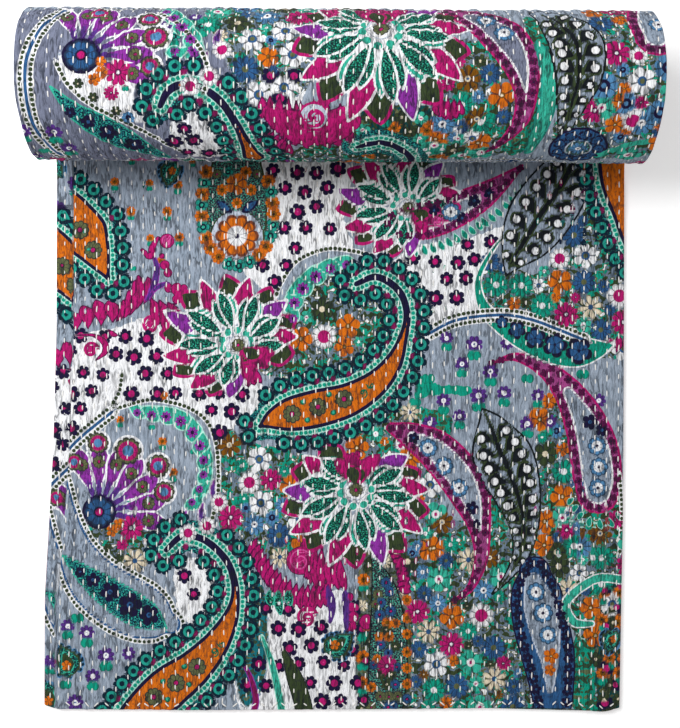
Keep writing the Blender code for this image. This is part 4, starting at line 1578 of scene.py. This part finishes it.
def roll_print(flat):
    """The motifs of the outermost turn, from the bottom up."""
    face = Print(roll_place)
    for low, high, shift in BORROWED:
        face.borrow(flat, low, high, shift)
    face.zone(LEFT_GROUND, "dusk")
    face.zone(FAN_GROUND, "white")
    grounds(face, ROLL_WHITE, (), ROLL_MEADOWS, ROLL_FIELDS, 140)
    draw(face, ROLL_SPRIGS)
    draw(face, ROLL_STRINGS)
    draw(face, ROLL_PLUMES)
    draw(face, ROLL_PAISLEYS)
    clear_ground(face)
    return face


# The printed cotton


class Nodes:
    """Makes the nodes of a tree, each in the order in which it is worked out."""

    def __init__(self, tree):
        self.tree = tree

    def put(self, kind, **settings):
        made = self.tree.nodes.new(kind)
        for key, value in settings.items():
            setattr(made, key, value)
        return made

    def feed(self, socket, value):
        if isinstance(value, bpy.types.NodeSocket):
            self.tree.links.new(value, socket)
        else:
            socket.default_value = value

    def sum(self, operation, *values, clamp=False):
        made = self.put("ShaderNodeMath", operation=operation, use_clamp=clamp)
        for socket, value in zip(made.inputs, values):
            self.feed(socket, value)
        return made.outputs[0]

    def under(self, value, limit, soft=0.25):
        """1 where a value is under a limit, with an edge soft wide."""
        made = self.put("ShaderNodeMapRange")
        self.feed(made.inputs["Value"], self.sum("SUBTRACT", limit, value))
        made.inputs["From Min"].default_value = -soft / 2
        made.inputs["From Max"].default_value = soft / 2
        return made.outputs[0]

    def mix(self, under, over, mask):
        made = self.put("ShaderNodeMix", data_type="RGBA")
        self.feed(made.inputs[0], mask)
        self.feed(made.inputs[6], under)
        self.feed(made.inputs[7], over)
        return made.outputs[2]

    def read(self, name):
        made = self.put("ShaderNodeAttribute", attribute_name=name)
        return made.outputs["Color"], made.outputs["Alpha"]

    def parts(self, colour):
        made = self.put("ShaderNodeSeparateXYZ")
        self.feed(made.inputs[0], colour)
        return made.outputs

    def noise(self, where, scale, detail=2.0, stretch=(1.0, 1.0, 1.0), bend=0.0):
        mapping = self.put("ShaderNodeMapping")
        self.feed(mapping.inputs["Vector"], where)
        mapping.inputs["Scale"].default_value = stretch
        made = self.put("ShaderNodeTexNoise")
        self.feed(made.inputs["Vector"], mapping.outputs[0])
        made.inputs["Scale"].default_value = scale
        made.inputs["Detail"].default_value = detail
        made.inputs["Distortion"].default_value = bend
        return made.outputs["Fac"]


COTTON_ROUGHNESS = 0.82
COTTON_SHEEN = 0.12
BUMP_DEPTH = 0.0028
WEAVE_SHARE = 0.12
GRAIN_SHADE = (0.015, 0.010, 0.030, 1.0)
OUTLINE_SHADE = (0.015, 0.015, 0.030, 1.0)
# The colour of the painted shade in the creases
PAINTED_CREASE_SHADE = (0.010, 0.014, 0.022, 1.0)
CREASE_SCALE = 0.40
CREASE_STRETCH = (1.0, 0.2, 1.0)
CREASE_BEND = 0.9
# What grows in the meadows: each row has an ink, whether its noise must be above the limit or
# below it, the noise, the limit, and how leafy a ground must be to have it.
LEAVES = (
    ("grey", False, "broad", 0.60, 0.8),
    ("teal", True, "broad", 0.52, 0.8),
    ("olive", True, "fine", 0.55, 0.2),
    ("moss", False, "fine", 0.41, 0.2),
    ("white", False, "fine", 0.34, 0.8),
)


def colour4(name):
    return (*INK[name], 1.0)


def print_and_shade_group():
    """The print: from the bottom up its ground, streaked with painted crinkle highlights, leafy patches,
    shapes, beads and flowers, and over them painted shade in the creases. Puts out the colour."""
    group = bpy.data.node_groups.new("kantha_print_painted_shade", "ShaderNodeTree")
    group.interface.new_socket("Colour", in_out="OUTPUT", socket_type="NodeSocketColor")
    n = Nodes(group)
    cloth, speckled = n.read("cloth")
    wobble = n.sum("MULTIPLY", n.sum("SUBTRACT", n.noise(cloth, 0.45, 2.0), 0.5), 1.3)

    # Ground: grey streaked with pale grey along the rows, painted highlights and shade of the crinkles, then
    # patches, and leaves in the meadows
    painted_crinkle_light = n.noise(cloth, 0.35, 3.0, (1.0, 0.22, 1.0))
    ground = n.mix(colour4("grey"), colour4("pale_grey"), n.sum("MULTIPLY", painted_crinkle_light, 0.8))
    patch, patch_depth = n.read("ground")
    kind, leafy = n.read("ground_kind")
    ragged = n.sum("MULTIPLY", n.sum("SUBTRACT", n.noise(cloth, 0.13, 3.0), 0.5), 9.0)
    patch_depth = n.sum("ADD", patch_depth, ragged)
    ground = n.mix(ground, patch, n.under(0.0, patch_depth))
    noises = {"broad": n.noise(cloth, 0.075, 1.5), "fine": n.noise(cloth, 0.16, 1.0)}
    in_patch = n.under(0.0, patch_depth)
    for ink, above, which, limit, least in LEAVES:
        pair = (limit, noises[which]) if above else (noises[which], limit)
        where = n.under(*pair, 0.01)
        amount = n.sum("MULTIPLY", in_patch, n.under(least, leafy))
        ground = n.mix(ground, colour4(ink), n.sum("MULTIPLY", amount, where))

    # Shapes, with their rims
    fill, depth = n.read("shape")
    rim, rim_width = n.read("shape_rim")
    depth = n.sum("ADD", depth, n.sum("MULTIPLY", wobble, 0.6))
    grain = n.noise(cloth, 0.42, 3.0, (1.0, 0.6, 1.0))
    fill = n.mix(fill, n.mix(fill, GRAIN_SHADE, 0.4), n.under(0.58, grain, 0.08))
    specks = n.noise(cloth, 0.62, 1.0)
    light = n.sum("MULTIPLY", speckled, n.under(specks, 0.42, 0.05))
    dark = n.sum("MULTIPLY", speckled, n.under(0.53, specks, 0.05))
    fill = n.mix(fill, colour4("sea"), light)
    fill = n.mix(fill, colour4("petrol"), dark)
    inked = n.mix(fill, rim, n.under(depth, rim_width))
    on_shape = n.under(0.0, depth)
    colour = n.mix(ground, inked, on_shape)

    # Beaded bands and thin lines
    place, beaded = n.read("line")
    side, apart, count = n.parts(place)
    band, half = n.read("line_band")
    bead, _ = n.read("line_bead")
    off = n.sum("ABSOLUTE", side)
    on_line = n.sum("MULTIPLY", n.under(off, half), n.under(apart, n.sum("ADD", half, 1.8)))
    twin = n.under(1.5, beaded)
    in_stripe = n.sum("MULTIPLY", n.under(off, 1.5), twin)
    string_side = n.sum("SUBTRACT", off, n.sum("MULTIPLY", twin, TWIN_OFF))
    string_half = n.sum("SUBTRACT", half, n.sum("MULTIPLY", twin, TWIN_OFF))
    beat = n.sum("SUBTRACT", n.sum("FRACT", count), 0.5)
    along = n.sum("POWER", n.sum("MULTIPLY", beat, 4.5), 2.0)
    from_bead = n.sum("SQRT", n.sum("ADD", along, n.sum("POWER", string_side, 2.0)))
    in_bead = n.under(from_bead, n.sum("MULTIPLY", string_half, 0.72), 0.4)
    in_bead = n.sum("MULTIPLY", in_bead, n.under(0.5, beaded))
    band = n.mix(band, colour4("blue"), in_stripe)
    colour = n.mix(colour, n.mix(band, bead, in_bead), on_line)

    # Flowers
    place, petals = n.read("bloom")
    across, down, away = n.parts(place)
    petal, petal_depth = n.read("bloom_petal")
    ring, ring_size = n.read("bloom_ring")
    heart, heart_size = n.read("bloom_heart")
    angle = n.sum("ARCTAN2", down, across)
    half_petals = n.sum("MULTIPLY", n.sum("ABSOLUTE", petals), 0.5)
    lobe = n.sum("ABSOLUTE", n.sum("COSINE", n.sum("MULTIPLY", angle, half_petals)))
    notch = n.sum("MULTIPLY", petal_depth, n.sum("SUBTRACT", 1.0, n.sum("POWER", lobe, 0.5)))
    reach = n.sum("ADD", n.sum("SUBTRACT", 1.0, notch), n.sum("MULTIPLY", wobble, 0.05))
    over = n.sum("MAXIMUM", n.under(petals, 0.0, 0.1), n.sum("SUBTRACT", 1.0, on_shape))
    on_bloom = n.sum("MULTIPLY", n.under(away, reach, 0.06), over)
    outlined = n.under(heart_size, 0.0, 0.02)
    seam = n.sum("ADD", 0.16, n.sum("MULTIPLY", n.sum("ABSOLUTE", petal_depth), 0.42))
    gaps = n.sum("MULTIPLY", n.under(lobe, seam, 0.1), n.under(2.5, n.sum("ABSOLUTE", petals)))
    brim = n.sum("MULTIPLY", n.under(n.sum("SUBTRACT", reach, away), 0.14, 0.05), outlined)
    ring_gaps = n.sum("MULTIPLY", gaps, outlined)
    petal = n.mix(petal, n.mix(petal, OUTLINE_SHADE, 0.75), n.sum("MAXIMUM", gaps, brim))
    ring = n.mix(ring, n.mix(ring, OUTLINE_SHADE, 0.6), ring_gaps)
    face = n.mix(petal, ring, n.under(away, ring_size, 0.06))
    face = n.mix(face, heart, n.under(away, n.sum("ABSOLUTE", heart_size), 0.06))
    colour = n.mix(colour, face, on_bloom)

    # Creases: painted shade, the colour darkened down in the fine puckers that run along the rows, where the
    # bump's folds dip
    fine = n.noise(cloth, CREASE_SCALE, 3.0, CREASE_STRETCH, CREASE_BEND)
    patchy = n.noise(cloth, 0.045, 2.0)
    painted_crease_shade = n.sum("MULTIPLY", n.under(fine, 0.46, 0.12), n.under(0.40, patchy, 0.35))
    colour = n.mix(colour, n.mix(colour, PAINTED_CREASE_SHADE, 0.72), painted_crease_shade)
    out = n.put("NodeGroupOutput")
    n.feed(out.inputs["Colour"], colour)
    return group


def printed_cotton_painted_shade(group):
    """Matt printed cotton, its colour carrying the painted crease shade and crinkle highlights, with the fine
    puckers and the weave as its bump.
    """
    made = bpy.data.materials.new("printed_cotton_painted_shade")
    made.use_nodes = True
    tree = made.node_tree
    tree.nodes.clear()
    n = Nodes(tree)
    inked = n.put("ShaderNodeGroup", node_tree=group)
    shader = n.put("ShaderNodeBsdfPrincipled")
    cloth, _ = n.read("cloth")
    tree.links.new(inked.outputs["Colour"], shader.inputs["Base Color"])
    shader.inputs["Roughness"].default_value = COTTON_ROUGHNESS
    shader.inputs["Specular IOR Level"].default_value = COTTON_SHEEN
    folds = n.noise(cloth, CREASE_SCALE, 3.0, CREASE_STRETCH, CREASE_BEND)
    weave = n.noise(cloth, 2.6, 1.0)
    height = n.sum("ADD", folds, n.sum("MULTIPLY", weave, WEAVE_SHARE))
    bump = n.put("ShaderNodeBump")
    bump.inputs["Strength"].default_value = 1.0
    bump.inputs["Distance"].default_value = BUMP_DEPTH
    n.feed(bump.inputs["Height"], height)
    n.feed(shader.inputs["Normal"], bump.outputs[0])
    out = n.put("ShaderNodeOutputMaterial")
    tree.links.new(shader.outputs[0], out.inputs["Surface"])
    return made


def thread_material():
    """White cotton thread."""
    made = bpy.data.materials.new("white_thread")
    made.use_nodes = True
    shader = made.node_tree.nodes["Principled BSDF"]
    shader.inputs["Base Color"].default_value = (*srgb(232, 230, 226), 1)
    shader.inputs["Roughness"].default_value = 0.7
    return made


def keep(piece, name, values):
    """Keeps four numbers a point with a mesh."""
    made = piece.data.attributes.new(name, "FLOAT_COLOR", "POINT")
    made.data.foreach_set("color", np.ascontiguousarray(values, np.float32).reshape(-1))


def print_on(piece, face, u, v, edging=None):
    """Lays a face's motifs on a piece, by the print coordinates of its points. Where edging is
    true the rose cloth of the edges shows."""
    u, v = u.reshape(-1), v.reshape(-1)
    ground, kind, _ = lay_shapes(face.zones, u, v, rims=False)
    keep(piece, "ground", ground)
    keep(piece, "ground_kind", kind)
    fill, rim, speckled = lay_shapes(face.shapes, u, v)
    if edging is not None:
        fill[edging.reshape(-1)] = (*INK["rose"], 2.0)
        rim[edging.reshape(-1)] = 0.0
    keep(piece, "shape", fill)
    keep(piece, "shape_rim", rim)
    names = ("line", "line_band", "line_bead")
    for name, values in zip(names, lay_lines(face.lines, face.twins, u, v)):
        keep(piece, name, values)
    names = ("bloom", "bloom_petal", "bloom_ring", "bloom_heart")
    for name, values in zip(names, lay_blooms(face.blooms, u, v)):
        keep(piece, name, values)
    keep(piece, "cloth", np.column_stack([u, v, 0 * u, speckled]))


def camera():
    """Looks straight down from above the photo's middle, with the photo's height in view."""
    lens = bpy.data.cameras.new("camera")
    lens.lens = lens.sensor_width * CAMERA_HEIGHT / (PHOTO_HEIGHT * PIXEL)
    made = into_scene("camera", lens)
    made.location = (MIDDLE_X, MIDDLE_Y, CAMERA_HEIGHT)
    bpy.context.scene.camera = made


SKY_STRENGTH = 0.42
LAMP_WIDTH = 0.9
LAMP_DEPTH = 0.7
LAMP_POWER = 23
LAMP_PLACE = (MIDDLE_X - 0.75, MIDDLE_Y + 0.55, 1.35)
FLOOR_HALF = 3.0
FLOOR_COLOUR = (0.9, 0.9, 0.9, 1.0)
FLOOR_GLOW = 0.35


def light():
    """A soft white sky, and one broad lamp from the left behind the quilt."""
    world = bpy.data.worlds.new("studio")
    bpy.context.scene.world = world
    world.use_nodes = True
    sky = world.node_tree.nodes["Background"]
    sky.inputs["Color"].default_value = (1, 1, 1, 1)
    sky.inputs["Strength"].default_value = SKY_STRENGTH
    lamp = bpy.data.lights.new("overhead", "AREA")
    lamp.shape = "RECTANGLE"
    lamp.size = LAMP_WIDTH
    lamp.size_y = LAMP_DEPTH
    lamp.energy = LAMP_POWER
    made = into_scene("overhead", lamp)
    made.location = LAMP_PLACE
    aim = made.location - Vector((MIDDLE_X, MIDDLE_Y, 0))
    made.rotation_euler = aim.to_track_quat("Z", "Y").to_euler()
    bpy.context.scene.view_settings.view_transform = "Standard"


def white_floor():
    """The plain pale floor that the quilt lies on."""
    corners = [(-1, -1, 0), (1, -1, 0), (1, 1, 0), (-1, 1, 0)]
    floor = bpy.data.meshes.new("floor")
    floor.from_pydata([(FLOOR_HALF * x, FLOOR_HALF * y, z) for x, y, z in corners], [], [(0, 1, 2, 3)])
    ground = into_scene("floor", floor)
    white = bpy.data.materials.new("white_floor")
    white.use_nodes = True
    shader = white.node_tree.nodes["Principled BSDF"]
    shader.inputs["Base Color"].default_value = FLOOR_COLOUR
    shader.inputs["Emission Color"].default_value = (1, 1, 1, 1)
    shader.inputs["Emission Strength"].default_value = FLOOR_GLOW
    floor.materials.append(white)


# The strip of the ply below shows the print this far across, in metres, and down, in millimetres.
# Plies that are mostly hidden repeat the print between these places, in millimetres.
STRIP_ACROSS = 0.018
STRIP_DOWN = 36.0
REPEAT_FROM = 170
REPEAT_LENGTH = 530
HIDDEN_DOWN = 230
EDGING_IN = 0.004
EDGING_TOP = 0.6 * STACK


def print_place(across, along):
    """The print coordinates of places on the flat stretch: the photo's pixels."""
    return MIDDLE_U + across * FLAT_SCALE, MIDDLE_V - along * FLAT_SCALE


def repeated(down):
    """Places down the print, brought within the stretch that hidden plies repeat."""
    return REPEAT_FROM + (down - REPEAT_FROM) % REPEAT_LENGTH


def print_folded_cloth(piece, face, across, along):
    """The top ply carries the print on from the finer sheet. The ply below shows as a strip on
    the left, with the print of a place nearby. The plies below that, of which only edges show,
    carry it elsewhere, and low on the edges their rose edging shows."""
    points = np.empty(len(piece.data.vertices) * 3, np.float32)
    piece.data.vertices.foreach_get("co", points)
    x, y, z = (points.reshape(-1, 3) - (MIDDLE_X, MIDDLE_Y, 0.0)).T
    lower = np.clip((STACK - 0.0030 - z) / 0.0004, 0, 1) > 0.5
    across, along = across.reshape(-1), along.reshape(-1)
    across, down = print_place(across, along)
    hidden = lower | (along > NIP_Y)
    down = np.where(hidden, repeated(down + HIDDEN_DOWN), down)
    strip = (x < edge("top_ply", y) + 0.0008) & (y < NIP_Y) & ~lower
    across = np.where(strip, across + STRIP_ACROSS * FLAT_SCALE, across)
    down = np.where(strip, repeated(down - STRIP_DOWN), down)
    left, right = edge("left", y), edge("right", y)
    inwards = np.minimum(np.minimum(x - left, right - x), y - near_hem(x))
    edging = (z < EDGING_TOP) & (y < NIP_Y) & (inwards < EDGING_IN)
    print_on(piece, face, across, down, edging)


def main():
    flat = flat_print()
    cloth, cloth_across, cloth_along = folded_cloth()
    top, top_x, top_y = top_ply()
    turn, turn_x, turn_angle = outer_turn()
    stitches = [flat_stitches(), roll_stitches(), strip_stitches(), hem_stitches()]
    print_on(top, flat, *print_place(top_x, top_y))
    print_folded_cloth(cloth, flat, cloth_across, cloth_along)
    print_on(turn, roll_print(flat), MIDDLE_U + turn_x * FLAT_SCALE, turn_angle * ROLL_MM)
    cotton = printed_cotton_painted_shade(print_and_shade_group())
    thread = thread_material()
    for piece in (cloth, top, turn):
        piece.data.materials.append(cotton)
    for piece in stitches:
        piece.data.materials.append(thread)
    camera()
    light()
    white_floor()


main()
